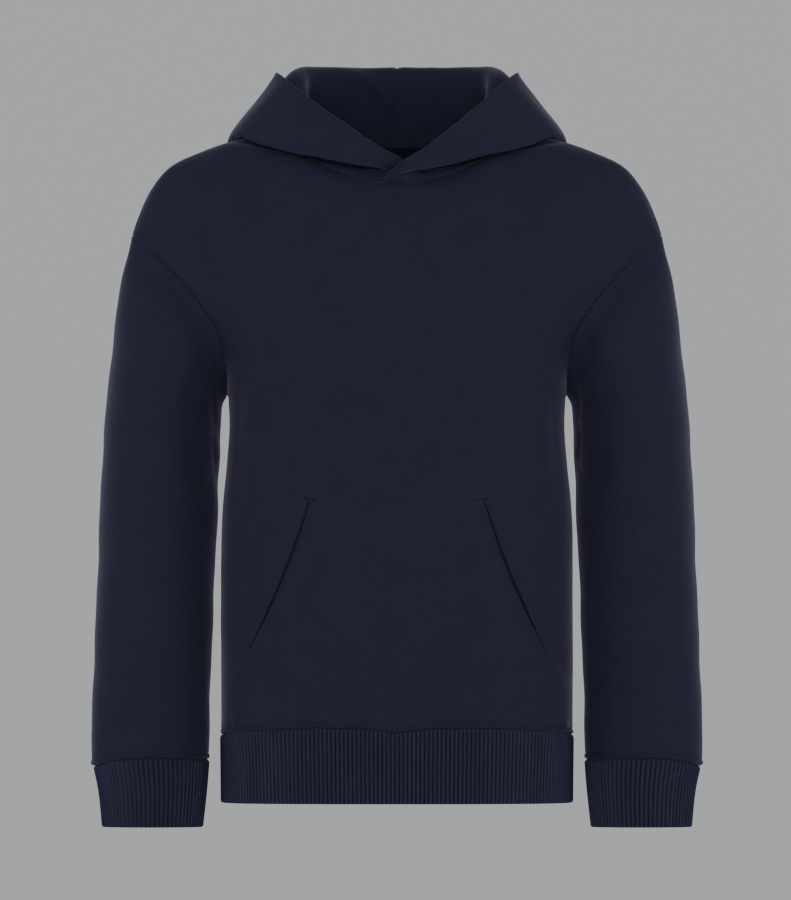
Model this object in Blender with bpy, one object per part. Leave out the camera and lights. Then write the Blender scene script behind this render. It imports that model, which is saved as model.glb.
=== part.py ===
"""Toddler hoodie: a pullover sweatshirt filled out as if worn, sleeves down, hood down.

Axes: +X is the wearer's left, the front faces -Y, +Z is up. The origin is the middle of the neck,
level with the high points of the shoulders. Tables and sizes are in millimetres.
"""
import math

import bmesh
import bpy
import numpy as np

MM = 0.001

# ---- cloth ------------------------------------------------------------------
FLEECE = 2.0            # wall of the body, sleeves and hood
HOOD_FLEECE = 2.2
BAG_CLOTH = 1.2
TAPE_CLOTH = 1.0
RIB_CLOTH = 2.0         # plain inside to the mean of the ribs
RIB_RELIEF = 0.6        # crest to valley
SEAM_GAP = 0.3
ARMHOLE_GAP = 0.36      # along the arm's axis
NECK_GAP = 0.6          # at the neck seam, which slopes and curves
LAYER_GAP = 0.4         # cloth that lies on cloth

# ---- grid: columns across half a panel, rows up it ----------------------------
NECK_COLUMNS = 6
SHOULDER_COLUMNS = 6
HALF = NECK_COLUMNS + SHOULDER_COLUMNS
TORSO_ROWS = 8
ARMHOLE_ROWS = 12
SLEEVE_COLUMNS = 2 * ARMHOLE_ROWS
RIBS_PER_BODY_COLUMN = 5
RIBS_PER_SLEEVE_COLUMN = 3
CURVE_SAMPLES = 240     # along a curve that is then divided evenly

# ---- torso: level sections, superellipses that go boxy at the front corners ----
# height, half width, depth in front, depth behind, squareness
TORSO = np.array([
    (-418.0, 108.6, 77.0, 71.0, 2.8),
    (-376.0, 109.0, 79.0, 73.0, 2.8),
    (-300.0, 109.0, 82.0, 76.0, 2.6),
    (-235.0, 108.0, 84.0, 78.0, 2.5),
    (-205.0, 105.2, 84.5, 79.0, 2.45),
    (-184.0, 103.8, 84.0, 79.0, 2.4),
    (-166.0, 104.6, 83.0, 79.0, 2.4),
    (-135.0, 106.0, 81.5, 78.0, 2.5),
    (-80.0, 107.0, 79.0, 75.0, 2.5),
])
UNDERARM = -166.0
CHEST_SPRING = {-1: -112.0, 1: -88.0}     # where the chest and the back start to round over
CHEST_ROUND = 1.45                        # 2 is an ellipse, 1 a straight slope: at the centre,
SHOULDER_ROUND = 2.0                      # and at the shoulder
SHOULDER_ROUND_COLUMN = 0.8 * HALF        # from which the shoulder's rounding is whole
DRIFT_POWER = 1.6                         # how late a column drifts sideways as it climbs

# hem seam: share of the way from centre front to the side, height
HEM_SEAM_FRONT = np.array([(0.0, -374.5), (0.09, -372.6), (0.3, -371.6), (0.6, -373.0), (1.0, -376.0)])
HEM_SEAM_BACK = np.array([(0.0, -373.0), (0.5, -373.8), (1.0, -376.0)])
HEM_BOTTOM = -418.0
HEM_TOP = -374.0        # mean height of the seam, whose section the rib's top keeps

# ---- neckline and shoulder ----------------------------------------------------
NECK_HALF_WIDTH = 70.0
NECK_DROP = {-1: 34.0, 1: 12.6}           # below the shoulder points, front and back
NECK_DEPTH = {-1: 58.0, 1: 47.0}
# shoulder seam from the neck to the armhole: x, y, z
SHOULDER_SEAM = np.array([
    (70.0, 0.0, 0.0), (84.0, -2.0, -4.2), (103.0, -4.0, -8.6), (121.0, -5.0, -14.9),
    (140.0, -5.0, -24.2), (152.0, -5.0, -39.0), (160.0, -5.0, -56.0), (164.0, -5.0, -66.5),
])
# armhole, knots all round from the shoulder by the front and the underarm: x, y, z
ARMHOLE = np.array([
    (164.0, -5.0, -66.5), (141.5, -29.0, -83.5), (121.6, -41.0, -105.0), (107.8, -35.0, -133.5),
    (105.4, 0.0, -166.0), (110.0, 38.0, -137.0), (123.0, 50.0, -104.0), (143.0, 33.0, -81.0),
])
ARM_AXIS = np.array([0.86, 0.0, -0.51])   # out through the armhole
ARMHOLE_PULL = 3.0      # how near the armhole its line shapes the panel; more is nearer
EDGE_SEARCH = 0.7       # a chest row ends past this share, where it comes nearest to the armhole

# soft folds pressed into the body beside the armholes: from (x, z) to (x, z), width, depth
ARM_FOLDS = {
    -1: [((137.0, -56.0), (110.0, -122.0), 13.0, 5.0)],
    1: [((138.0, -54.0), (112.0, -128.0), 14.0, 5.5)],
}
FOLD_RUN_OUT = 0.25     # a fold runs past its ends by this share of its length,
FOLD_FADE = 0.4         # and fades over this share

# ---- sleeve: outer edge (x, z), inner edge (x, z), middle y, half depth ----------
SLEEVE = np.array([
    (164.0, -66.5, 105.4, -166.0, 3.0, 47.0),
    (171.3, -97.0, 108.4, -173.0, 4.0, 48.5),
    (176.0, -132.0, 109.2, -187.0, 4.0, 49.0),
    (180.3, -172.0, 109.8, -208.0, 3.0, 48.5),
    (183.6, -222.0, 111.0, -238.0, 0.0, 47.0),
    (185.4, -272.0, 112.8, -276.0, -4.0, 43.5),
    (187.4, -322.0, 114.6, -322.0, -9.0, 38.0),
    (188.8, -360.0, 115.9, -358.0, -13.0, 33.0),
    (189.2, -395.0, 116.4, -391.0, -16.0, 29.5),
])
SLEEVE_ROWS = 12
ARMHOLE_FADE = 0.34     # share of the sleeve over which the armhole's shape turns round
CUFF_SEAM_FRONT = -390.0
CUFF_SEAM_DROP = {1: 5.0, -1: 1.0}      # below that at the outer and the inner side

# cuff: height at the middle, half width, half depth, middle x, middle y
CUFF = np.array([
    (-391.5, 35.9, 28.5, 152.5, -16.0),
    (-409.0, 33.3, 26.2, 151.3, -17.0),
    (-433.0, 30.7, 24.2, 151.3, -18.0),
])

# ---- hood, half of it: stations from the front end round to the centre back ------
# station, crest x y z (top of the stand), foot x y z (lowest fold), rim x y z (free edge),
# radius of the crest's roll, radius of the foot's
HOOD = np.array([
    (-0.5, -9.0, -62.0, -31.0, -9.0, -66.0, -31.5, -9.0, -66.0, -29.5, 1.5, 1.5),
    (0.0, -1.0, -60.5, -28.0, 1.0, -67.0, -28.6, 0.0, -65.5, -20.8, 2.0, 2.6),
    (1.0, 13.0, -57.0, -25.5, 17.0, -65.5, -26.4, 12.0, -60.5, -13.5, 2.6, 3.4),
    (2.0, 26.5, -52.5, -20.5, 34.5, -61.0, -23.2, 25.0, -52.0, -4.5, 3.0, 3.6),
    (3.0, 38.0, -43.5, -13.0, 51.0, -50.5, -19.2, 38.5, -41.5, 5.8, 3.5, 3.8),
    (4.0, 47.5, -32.0, -3.0, 67.0, -38.0, -15.2, 51.0, -29.5, 15.5, 4.0, 3.8),
    (5.0, 54.5, -18.0, 9.0, 83.5, -21.0, -10.0, 62.0, -15.0, 24.8, 5.0, 3.8),
    (6.0, 59.5, -3.0, 21.0, 98.5, -1.0, -7.0, 70.5, 1.5, 32.0, 6.0, 3.8),
    (7.0, 62.0, 13.0, 31.5, 103.0, 25.0, -16.0, 75.0, 19.0, 35.0, 6.5, 5.0),
    (8.0, 59.0, 28.0, 36.2, 97.0, 57.0, -56.0, 73.0, 44.0, 31.5, 7.0, 7.0),
    (9.0, 49.0, 41.5, 36.5, 81.0, 80.0, -100.0, 64.0, 69.0, 26.5, 7.5, 9.0),
    (10.0, 34.5, 51.0, 36.5, 57.0, 92.0, -130.0, 47.0, 89.0, 21.5, 8.0, 10.0),
    (11.0, 18.0, 56.5, 36.5, 29.0, 97.0, -146.0, 25.0, 101.0, 18.0, 8.0, 11.0),
    (12.0, 0.0, 58.5, 36.5, 0.0, 98.5, -150.0, 0.0, 105.0, 16.5, 8.0, 11.0),
])
HOOD_FRONT_END = {False: -0.5, True: -0.2}      # of the left half, over, and the right half, under
HOOD_STATIONS = (0.0, 0.5, 1.0, 2.0, 3.0, 4.0, 4.5, 5.0, 5.5, 6.0, 6.5, 7.0, 7.5, 8.0, 8.5, 9.0,
                 10.0, 11.0, 12.0)
HOOD_FLEECE_AT_END = 1.3
STAND_STEPS = (0.0, 0.3, 0.6, 0.85, 1.0)
FALL_STEPS = (0.12, 0.26, 0.46, 0.66, 0.82, 0.92, 1.0)
RISE_STEPS = (0.08, 0.18, 0.34, 0.55, 0.78, 1.0)
CROSSING_SHIFT = 5.0    # the two rims cross this far to the wearer's left of the middle
CROSSING_REACH = 62.0
# the halves' front ends lie on each other: shift of the seam and of the rest, flat for so far
OVER_FLAP = (-1.4, -2.5, 1.1)
UNDER_FLAP = (1.4, 7.0, 2.2)
BODY_CLEARANCE = 1.5    # of the hood's lower folds over the shoulders and the back
FIRST_RESTING = 2.5     # station past which the hood's lower folds lie over the body
FLAP_STATIONS = 2.0     # over which the flaps' shifts fade out
CREST_ON_FLAP = 0.3     # where a flap is flat: share of the way from the seam to the rim
FOOT_ON_FLAP = 0.6
STRAIGHT_PULL = 0.9     # of a fold's end that runs on straight, in its own span
WALL_STATIONS = 3.0     # over which the wall grows to its full thickness
FOOT_SMOOTHING = 4      # passes that round the inner wall at the foot's bend,
FOOT_REACH = 4          # over so many rows each way

# ---- pocket and tape ------------------------------------------------------------
# each slit: top (x, z), bottom (x, z); it bows toward the centre
SLIT_TOP = (54.0, -231.3)
SLIT_BOTTOM = (91.2, -322.0)
SLIT_WIDTH = 1.6
SLIT_BOW = 2.7
SLIT_STEPS = 8
SLIT_END = 0.35         # width at its ends, as a share of the middle's
CUTTER_SPAN = (-100.0, -40.0)           # y of the slit cutter's two faces
BAG_TOP = -222.0
BAG_HALF_WIDTH = 98.0
TAPE_BOTTOM = 0.7       # above the neck seam
TAPE_HEIGHT = 9.0
TAPE_FIRST_STATION = 7.0

COLOURS = {
    "navy_fleece": (0.0152, 0.0168, 0.0319),
    "navy_rib": (0.0176, 0.0194, 0.0356),
    "navy_tape": (0.0110, 0.0122, 0.0222),
}
ROUGHNESS = 0.95


# ---- curves ----------------------------------------------------------------------
def catmull(knots, places, closed=False):
    """Points of a smooth curve through knots; a place of 2.5 is half way from knot 2 to knot 3."""
    count = len(knots)
    places = np.asarray(places, float)
    if closed:
        ring = knots
    else:
        ring = np.vstack([2 * knots[0] - knots[1], knots, 2 * knots[-1] - knots[-2]])
    low = np.floor(places).astype(int)
    if not closed:
        low = np.clip(low, 0, count - 2)
    t = (places - low)[:, None]
    first = low if not closed else low - 1
    a, b, c, d = (ring[(first + step) % len(ring)] for step in range(4))
    return 0.5 * (2 * b + (c - a) * t + (2 * a - 5 * b + 4 * c - d) * t ** 2
                  + (3 * b - a - 3 * c + d) * t ** 3)


def smooth_rows(table, keys):
    """Rows of a table whose first column is its key, read smoothly between the rows."""
    known = table[:, 0]
    values = table[:, 1:]
    slopes = np.gradient(values, known, axis=0)
    keys = np.clip(np.atleast_1d(np.asarray(keys, float)), known[0], known[-1])
    low = np.clip(np.searchsorted(known, keys) - 1, 0, len(known) - 2)
    step = (known[low + 1] - known[low])[:, None]
    t = (keys - known[low])[:, None] / step
    return (values[low] * (1 + 2 * t) * (1 - t) ** 2 + slopes[low] * step * t * (1 - t) ** 2
            + values[low + 1] * (3 - 2 * t) * t ** 2 - slopes[low + 1] * step * (1 - t) * t ** 2)


def hermite(start, start_pull, end, end_pull, steps):
    """Points from start to end that leave and arrive along the two pulls."""
    t = np.asarray(steps, float)[:, None]
    return (start * (1 + 2 * t) * (1 - t) ** 2 + start_pull * t * (1 - t) ** 2
            + end * (3 - 2 * t) * t ** 2 - end_pull * (1 - t) * t ** 2)


def respaced(points, count):
    """The same line with count + 1 points at equal lengths along it."""
    steps = np.linalg.norm(np.diff(points, axis=0), axis=1)
    length = np.concatenate([[0.0], np.cumsum(steps)])
    wanted = np.linspace(0.0, length[-1], count + 1)
    return np.stack([np.interp(wanted, length, points[:, axis]) for axis in range(3)], axis=1)


def unit(vectors):
    return vectors / np.linalg.norm(vectors, axis=-1, keepdims=True)


# ---- body ---------------------------------------------------------------------------
def section(height, side, steps):
    """Half a level section of the torso, from the middle of one side's panel to the side seam."""
    half_width, front, back, square = smooth_rows(TORSO, height)[0]
    depth = front if side < 0 else back
    angle = np.linspace(0.0, math.pi / 2, CURVE_SAMPLES + 1)
    across, out = np.sin(angle), np.cos(angle)
    reach = ((across / half_width) ** square + (out / depth) ** square) ** (-1 / square)
    line = np.stack([reach * across, side * reach * out, np.full_like(angle, height)], axis=1)
    line[-1, 1] = 0.0
    return respaced(line, steps)


def neckline(side):
    """Half the neckline, from the centre to the shoulder point."""
    across = np.sin(np.linspace(0.0, math.pi / 2, CURVE_SAMPLES + 1))
    drop = np.maximum(1 - across ** 2.4, 0) ** 0.72
    depth = np.maximum(1 - across ** 2.3, 0) ** 0.5
    line = np.stack([NECK_HALF_WIDTH * across, side * NECK_DEPTH[side] * depth,
                     -NECK_DROP[side] * drop], axis=1)
    return respaced(line, NECK_COLUMNS)


def top_edge(side):
    """Half the panel's top: the neckline, then the shoulder seam."""
    places = np.linspace(0.0, len(SHOULDER_SEAM) - 1, CURVE_SAMPLES + 1)
    shoulder = respaced(catmull(SHOULDER_SEAM, places), SHOULDER_COLUMNS)
    return np.vstack([neckline(side), shoulder[1:]])


def hem_seam(side):
    """Heights of the hem seam at the panel's columns, centre to side."""
    shares = np.linspace(0.0, 1.0, HALF + 1)
    table = HEM_SEAM_FRONT if side < 0 else HEM_SEAM_BACK
    return smooth_rows(table, shares)[:, 0]


def armhole_loop():
    """The armhole, one point for each sleeve column, from the shoulder by the front."""
    places = np.arange(SLEEVE_COLUMNS) * len(ARMHOLE) / SLEEVE_COLUMNS
    return catmull(ARMHOLE, places, closed=True)


def fold_depth(points, folds):
    """How deep the soft folds press in at each point of a panel."""
    total = np.zeros(points.shape[:-1])
    flat = np.abs(points[..., 0]), points[..., 2]
    for (x0, z0), (x1, z1), width, depth in folds:
        along = np.array([x1 - x0, z1 - z0])
        length = np.linalg.norm(along)
        dx, dz = flat[0] - x0, flat[1] - z0
        share = (dx * along[0] + dz * along[1]) / length ** 2
        off = np.abs(dx * along[1] - dz * along[0]) / length
        ends = np.clip((np.minimum(share, 1 - share) + FOLD_RUN_OUT) / FOLD_FADE, 0, 1)
        total += depth * np.exp(-(off / width) ** 2) * ends * ends * (3 - 2 * ends)
    return total


def panel_half(side):
    """Points of half a body panel: rows from the hem seam up, columns from the centre out."""
    seam = hem_seam(side)
    rows = []
    for row in range(TORSO_ROWS + 1):
        share = row / TORSO_ROWS
        heights = seam + (UNDERARM - seam) * share
        rows.append([section(height, side, HALF)[column] for column, height in enumerate(heights)])
    torso = np.array(rows)

    top = top_edge(side)
    climb = np.linspace(UNDERARM, CHEST_SPRING[side], ARMHOLE_ROWS)
    upright = np.array([section(height, side, HALF) for height in climb])
    turn = np.linspace(0.0, math.pi / 2, CURVE_SAMPLES)[:, None]
    columns = []
    for column in range(HALF + 1):
        blend = min(1.0, column / SHOULDER_ROUND_COLUMN) ** 2
        power = CHEST_ROUND + (SHOULDER_ROUND - CHEST_ROUND) * blend
        inward = np.cos(turn) ** (2 / power)
        upward = np.sin(turn) ** (2 / power)
        start, end = upright[-1, column], top[column]
        arc = np.hstack([
            start[0] + (end[0] - start[0]) * upward ** DRIFT_POWER,
            end[1] + (start[1] - end[1]) * inward,
            start[2] + (end[2] - start[2]) * upward,
        ])
        columns.append(respaced(np.vstack([upright[:-1, column], arc]), ARMHOLE_ROWS))
    chest = np.stack(columns, axis=1)

    loop = armhole_loop()
    edge = loop[ARMHOLE_ROWS::-1] if side < 0 else np.vstack([loop[ARMHOLE_ROWS:], loop[:1]])
    shares = np.linspace(0.0, 1.0, HALF + 1)
    for row in range(ARMHOLE_ROWS + 1):
        places = np.linspace(EDGE_SEARCH * HALF, HALF, CURVE_SAMPLES + 1)
        reach = np.linalg.norm(catmull(chest[row], places) - edge[row], axis=1)
        chest[row] = catmull(chest[row], shares * places[np.argmin(reach)])
        chest[row] += shares[:, None] ** ARMHOLE_PULL * (edge[row] - chest[row, -1])
    points = np.vstack([torso, chest[1:]])
    press = fold_depth(points, ARM_FOLDS[side])
    press[:, -1] = 0.0
    press[-1] = 0.0
    points[..., 1] -= side * press
    points[:TORSO_ROWS + 1, -1, 1] = 0.0
    return points


def whole_panel(side):
    """The whole panel's points, columns to the right as seen from outside."""
    half = panel_half(side)
    mirror = half[:, :0:-1] * (-1, 1, 1)
    points = np.concatenate([mirror, half], axis=1)
    return points if side < 0 else points[:, ::-1]


# ---- walls ------------------------------------------------------------------------------
def outward(points, wrap=False):
    """Unit normals of a grid whose columns run to the right and rows up, seen from outside."""
    up = np.gradient(points, axis=0)
    if wrap:
        right = (np.roll(points, -1, axis=1) - np.roll(points, 1, axis=1)) / 2
    else:
        right = np.gradient(points, axis=1)
    return unit(np.cross(right, up))


def new_object(name, vertices, faces, material, collection):
    """One closed solid from points in millimetres."""
    mesh = bpy.data.meshes.new(name)
    mesh.from_pydata([tuple(point) for point in np.asarray(vertices) * MM], [], faces)
    mesh.materials.append(material)
    shape = bmesh.new()
    shape.from_mesh(mesh)
    bmesh.ops.triangulate(shape, faces=shape.faces)
    bmesh.ops.recalc_face_normals(shape, faces=shape.faces)
    shape.to_mesh(mesh)
    shape.free()
    mesh.shade_smooth()
    mesh.set_sharp_from_angle(angle=math.radians(50))
    item = bpy.data.objects.new(name, mesh)
    collection.objects.link(item)
    return item


def open_wall(name, outer, inner, material, collection):
    """A sheet with thickness between two equal grids of points."""
    rows, columns = outer.shape[:2]
    shift = rows * columns
    vertices = np.vstack([outer.reshape(-1, 3), inner.reshape(-1, 3)])
    faces = []
    for row in range(rows - 1):
        for column in range(columns - 1):
            a = row * columns + column
            quad = (a, a + 1, a + columns + 1, a + columns)
            faces.append(quad)
            faces.append(tuple(corner + shift for corner in reversed(quad)))
    bottom = list(range(columns))
    right = [row * columns + columns - 1 for row in range(1, rows)]
    top = [(rows - 1) * columns + column for column in range(columns - 2, -1, -1)]
    left = [row * columns for row in range(rows - 2, 0, -1)]
    border = bottom + right + top + left
    for here, after in zip(border, border[1:] + border[:1]):
        faces.append((after, here, here + shift, after + shift))
    return new_object(name, vertices, faces, material, collection)


def tube_wall(name, outer, inner, material, collection):
    """A tube between rings of points; the outer rings may have several points to each inner one."""
    rows, fine = outer.shape[:2]
    coarse = inner.shape[1]
    ratio = fine // coarse
    shift = rows * fine
    vertices = np.vstack([outer.reshape(-1, 3), inner.reshape(-1, 3)])
    faces = []
    for row in range(rows - 1):
        for count, start, flip in ((fine, 0, False), (coarse, shift, True)):
            for column in range(count):
                after = (column + 1) % count
                quad = (start + row * count + column, start + row * count + after,
                        start + (row + 1) * count + after, start + (row + 1) * count + column)
                faces.append(tuple(reversed(quad)) if flip else quad)
    for row, flip in ((0, True), (rows - 1, False)):
        for column in range(coarse):
            here = shift + row * coarse + column
            after = shift + row * coarse + (column + 1) % coarse
            rim = [row * fine + (column * ratio + step) % fine for step in range(ratio + 1)]
            middle = (ratio + 1) // 2
            fans = [(here, a, b) for a, b in zip(rim[:middle], rim[1:middle + 1])]
            fans.append((here, rim[middle], after))
            fans += [(after, a, b) for a, b in zip(rim[middle:-1], rim[middle + 1:])]
            faces += [tuple(reversed(fan)) if flip else fan for fan in fans]
    return new_object(name, vertices, faces, material, collection)


# ---- pieces -------------------------------------------------------------------------------
def armhole_gap(points, sign):
    """Edge points moved off the armhole's line, to the body's (-1) or the sleeve's (+1) side."""
    axis = ARM_AXIS * np.where(points[:, :1] < 0, (-1, 1, 1), (1, 1, 1))
    return points + sign * ARMHOLE_GAP / 2 * axis


def within_seam(inward, points, sign):
    """Inward directions that keep to their own side of the armhole: body (-1) or sleeve (+1)."""
    axis = unit(ARM_AXIS * np.where(points[:, :1] < 0, (-1, 1, 1), (1, 1, 1)))
    across = np.sum(inward * axis, axis=1, keepdims=True)
    return unit(inward - np.where(across * sign < 0, across, 0.0) * axis)


def neck_inward(points):
    """Level directions from the neckline toward the middle of the neck."""
    depth = np.where(points[:, 1] < 0, NECK_DEPTH[-1], NECK_DEPTH[1])
    flat = np.stack([points[:, 0] / NECK_HALF_WIDTH ** 2, points[:, 1] / depth ** 2,
                     np.zeros(len(points))], axis=1)
    return -unit(flat)


def panel_walls(side):
    """Outer and inner points of a body panel, parted from its neighbours at every seam."""
    outer = whole_panel(side)
    normal = outward(outer)
    gap = SEAM_GAP / 2
    inward = -normal
    last = outer.shape[1] - 1
    for column in (0, last):
        inward[:TORSO_ROWS, column] = (-np.sign(outer[0, column, 0]), 0.0, 0.0)
        inward[TORSO_ROWS:, column] = within_seam(inward[TORSO_ROWS:, column],
                                                  outer[TORSO_ROWS:, column], -1)
    corner = SHOULDER_COLUMNS
    neck = slice(corner, last - corner + 1)
    inward[-1, neck] = neck_inward(outer[-1, neck])
    for shoulder in (slice(1, corner), slice(last - corner + 1, last)):
        inward[-1, shoulder, 1] = 0.0
        inward[-1, shoulder] = unit(inward[-1, shoulder])
    for column in (0, last):
        for row in (TORSO_ROWS, -1):
            inward[row, column, 1] = 0.0
            inward[row, column] = unit(inward[row, column])
    level = inward[0] * (1, 1, 0)
    inward[0] = unit(level)
    for column in (0, last):
        outer[TORSO_ROWS:, column] = armhole_gap(outer[TORSO_ROWS:, column], -1)
        outer[:TORSO_ROWS + 1, column, 1] += side * gap
    outer[-1, :corner, 1] += side * gap
    outer[-1, last - corner + 1:, 1] += side * gap
    outer[-1, [corner, last - corner], 1] += side * gap
    outer[0, :, 2] += gap
    outer[-1, neck, 2] -= NECK_GAP / 2
    return outer, outer + FLEECE * inward


def sleeve_rings(rows=SLEEVE_ROWS):
    """Rings of the wearer's left sleeve from the armhole to the cuff seam."""
    table = np.column_stack([np.linspace(0.0, 1.0, len(SLEEVE)), SLEEVE])
    turn = np.arange(SLEEVE_COLUMNS) * 2 * math.pi / SLEEVE_COLUMNS
    shares = np.linspace(0.0, 1.0, rows + 1)
    rings = []
    for outer_x, outer_z, inner_x, inner_z, middle_y, depth in smooth_rows(table, shares):
        rings.append(np.stack([
            (outer_x + inner_x) / 2 + (outer_x - inner_x) / 2 * np.cos(turn),
            middle_y - depth * np.sin(turn),
            (outer_z + inner_z) / 2 + (outer_z - inner_z) / 2 * np.cos(turn),
        ], axis=1))
    rings = np.array(rings)
    fade = np.clip(1 - shares / ARMHOLE_FADE, 0.0, 1.0)[:, None, None] ** 2
    rings += fade * (armhole_loop() - rings[0])
    rings[-1, :, 2] = cuff_seam(turn)
    return rings


def cuff_seam(turn):
    """Height of the cuff seam round the sleeve: it arches up at the front and the back."""
    across = np.cos(turn)
    mean = (CUFF_SEAM_DROP[1] + CUFF_SEAM_DROP[-1]) / 2
    lean = (CUFF_SEAM_DROP[1] - CUFF_SEAM_DROP[-1]) / 2
    return CUFF_SEAM_FRONT - across ** 2 * (mean + lean * across)


def mirrored(points):
    """The same grid on the wearer's right, columns still to the right from outside."""
    return points[:, ::-1] * (-1, 1, 1)


def sleeve_walls():
    """Outer and inner rings of the left sleeve, cuff seam first, columns to the right."""
    outer = sleeve_rings()[::-1, -np.arange(SLEEVE_COLUMNS)]
    normal = outward(outer, wrap=True)
    inward = -normal
    inward[-1] = within_seam(inward[-1], outer[-1], 1)
    inward[0] = unit(inward[0] * (1, 1, 0))
    outer[-1] = armhole_gap(outer[-1], 1)
    outer[0, :, 2] += SEAM_GAP / 2
    return outer, outer + FLEECE * inward


def ribbed(ring_of, heights, coarse, ribs_each, z_of):
    """Outer rings with raised ribs and plain inner rings for a rib band, bottom ring first."""
    fine = coarse * ribs_each * 2
    outer, inner = [], []
    for height in heights:
        base = ring_of(height, fine)
        after, before = np.roll(base, -1, axis=0), np.roll(base, 1, axis=0)
        right = unit((after - before) * (1, 1, 0))
        normal = np.stack([right[:, 1], -right[:, 0], np.zeros(fine)], axis=1)
        relief = np.where(np.arange(fine) % 2 == 0, RIB_RELIEF / 2, -RIB_RELIEF / 2)[:, None]
        outer.append(base + normal * relief)
        inner.append((base - normal * RIB_CLOTH)[::ribs_each * 2])
    outer, inner = np.array(outer), np.array(inner)
    outer[-1, :, 2] = z_of(fine)
    inner[-1, :, 2] = z_of(fine)[::ribs_each * 2]
    return outer, inner


def body_ring(height, count):
    """A closed level ring of the torso, from the wearer's right by the front."""
    front = section(height, -1, count // 4)
    back = section(height, 1, count // 4)
    quarters = (front[::-1] * (-1, 1, 1), front, back[::-1], back * (-1, 1, 1))
    return np.vstack([quarter[:-1] for quarter in quarters])


def hem_top(count):
    """Heights of the rib's top all round, straight between the panels' columns."""
    front, back = hem_seam(-1), hem_seam(1)
    around = np.concatenate([front[::-1], front[1:], back[-2::-1], back[1:]])
    places = np.arange(count) * (len(around) - 1) / count
    return np.interp(places, np.arange(len(around)), around) - SEAM_GAP / 2


def hem_walls():
    """Outer and inner rings of the hem rib."""
    heights = (HEM_BOTTOM, (HEM_BOTTOM + HEM_TOP) / 2, HEM_TOP)
    return ribbed(body_ring, heights, 4 * HALF, RIBS_PER_BODY_COLUMN, hem_top)


def cuff_ring(height, count):
    """A level ring of the wearer's left cuff, from the outer side by the back."""
    half_width, half_depth, middle_x, middle_y = smooth_rows(CUFF[::-1], height)[0]
    turn = np.arange(count) * 2 * math.pi / count
    return np.stack([middle_x + half_width * np.cos(turn), middle_y + half_depth * np.sin(turn),
                     np.full(count, height)], axis=1)


def cuff_top(count):
    """Heights of the cuff's top all round, straight between the sleeve's columns."""
    places = np.arange(count + 1) * SLEEVE_COLUMNS / count
    turn = np.arange(SLEEVE_COLUMNS + 1) * 2 * math.pi / SLEEVE_COLUMNS
    heights = np.interp(places, np.arange(SLEEVE_COLUMNS + 1), cuff_seam(turn))
    return heights[:-1] - SEAM_GAP / 2


def cuff_walls():
    """Outer and inner rings of the left cuff."""
    return ribbed(cuff_ring, CUFF[::-1, 0], SLEEVE_COLUMNS, RIBS_PER_SLEEVE_COLUMN, cuff_top)


# ---- hood ---------------------------------------------------------------------------------
def neck_seam(stations):
    """Points of the neck seam at the hood's stations, wearer's left, front centre to back."""
    front, back = neckline(-1), neckline(1)
    line = np.vstack([front[1:2] * (-1, 1, 1), front, back[-2::-1]])
    places = np.asarray(stations) + 1
    return np.stack([np.interp(places, np.arange(len(line)), line[:, axis]) for axis in range(3)],
                    axis=1)


def roll_pull(direction, span, radius):
    """Pull along a direction that gives a curve of this span a roll of this radius."""
    off = np.linalg.norm(span - np.dot(span, direction) * direction)
    return direction * math.sqrt(6 * radius * max(off, radius))


def body_surface():
    """Points and normals all over the body, three to each step of its grids."""
    points, normals = [], []
    for side in (-1, 1):
        grid = whole_panel(side)
        for axis in (0, 1):
            count = grid.shape[axis]
            places = np.linspace(0, count - 1, 3 * (count - 1) + 1)
            low = np.minimum(places.astype(int), count - 2)
            share = np.expand_dims(places - low, (1, 2) if axis == 0 else (0, 2))
            grid = np.take(grid, low, axis) * (1 - share) + np.take(grid, low + 1, axis) * share
        points.append(grid.reshape(-1, 3))
        normals.append(outward(grid).reshape(-1, 3))
    return np.vstack(points), np.vstack(normals)


def lifted_off(line, surface, least):
    """A line's points, moved out where they come too near the body."""
    points, normals = surface
    for _ in range(3):
        nearest = np.argmin(np.linalg.norm(line[:, None] - points[None], axis=2), axis=1)
        height = np.sum((line - points[nearest]) * normals[nearest], axis=1)
        line = line + np.clip(least - height, 0, None)[:, None] * normals[nearest]
    return line


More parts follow.
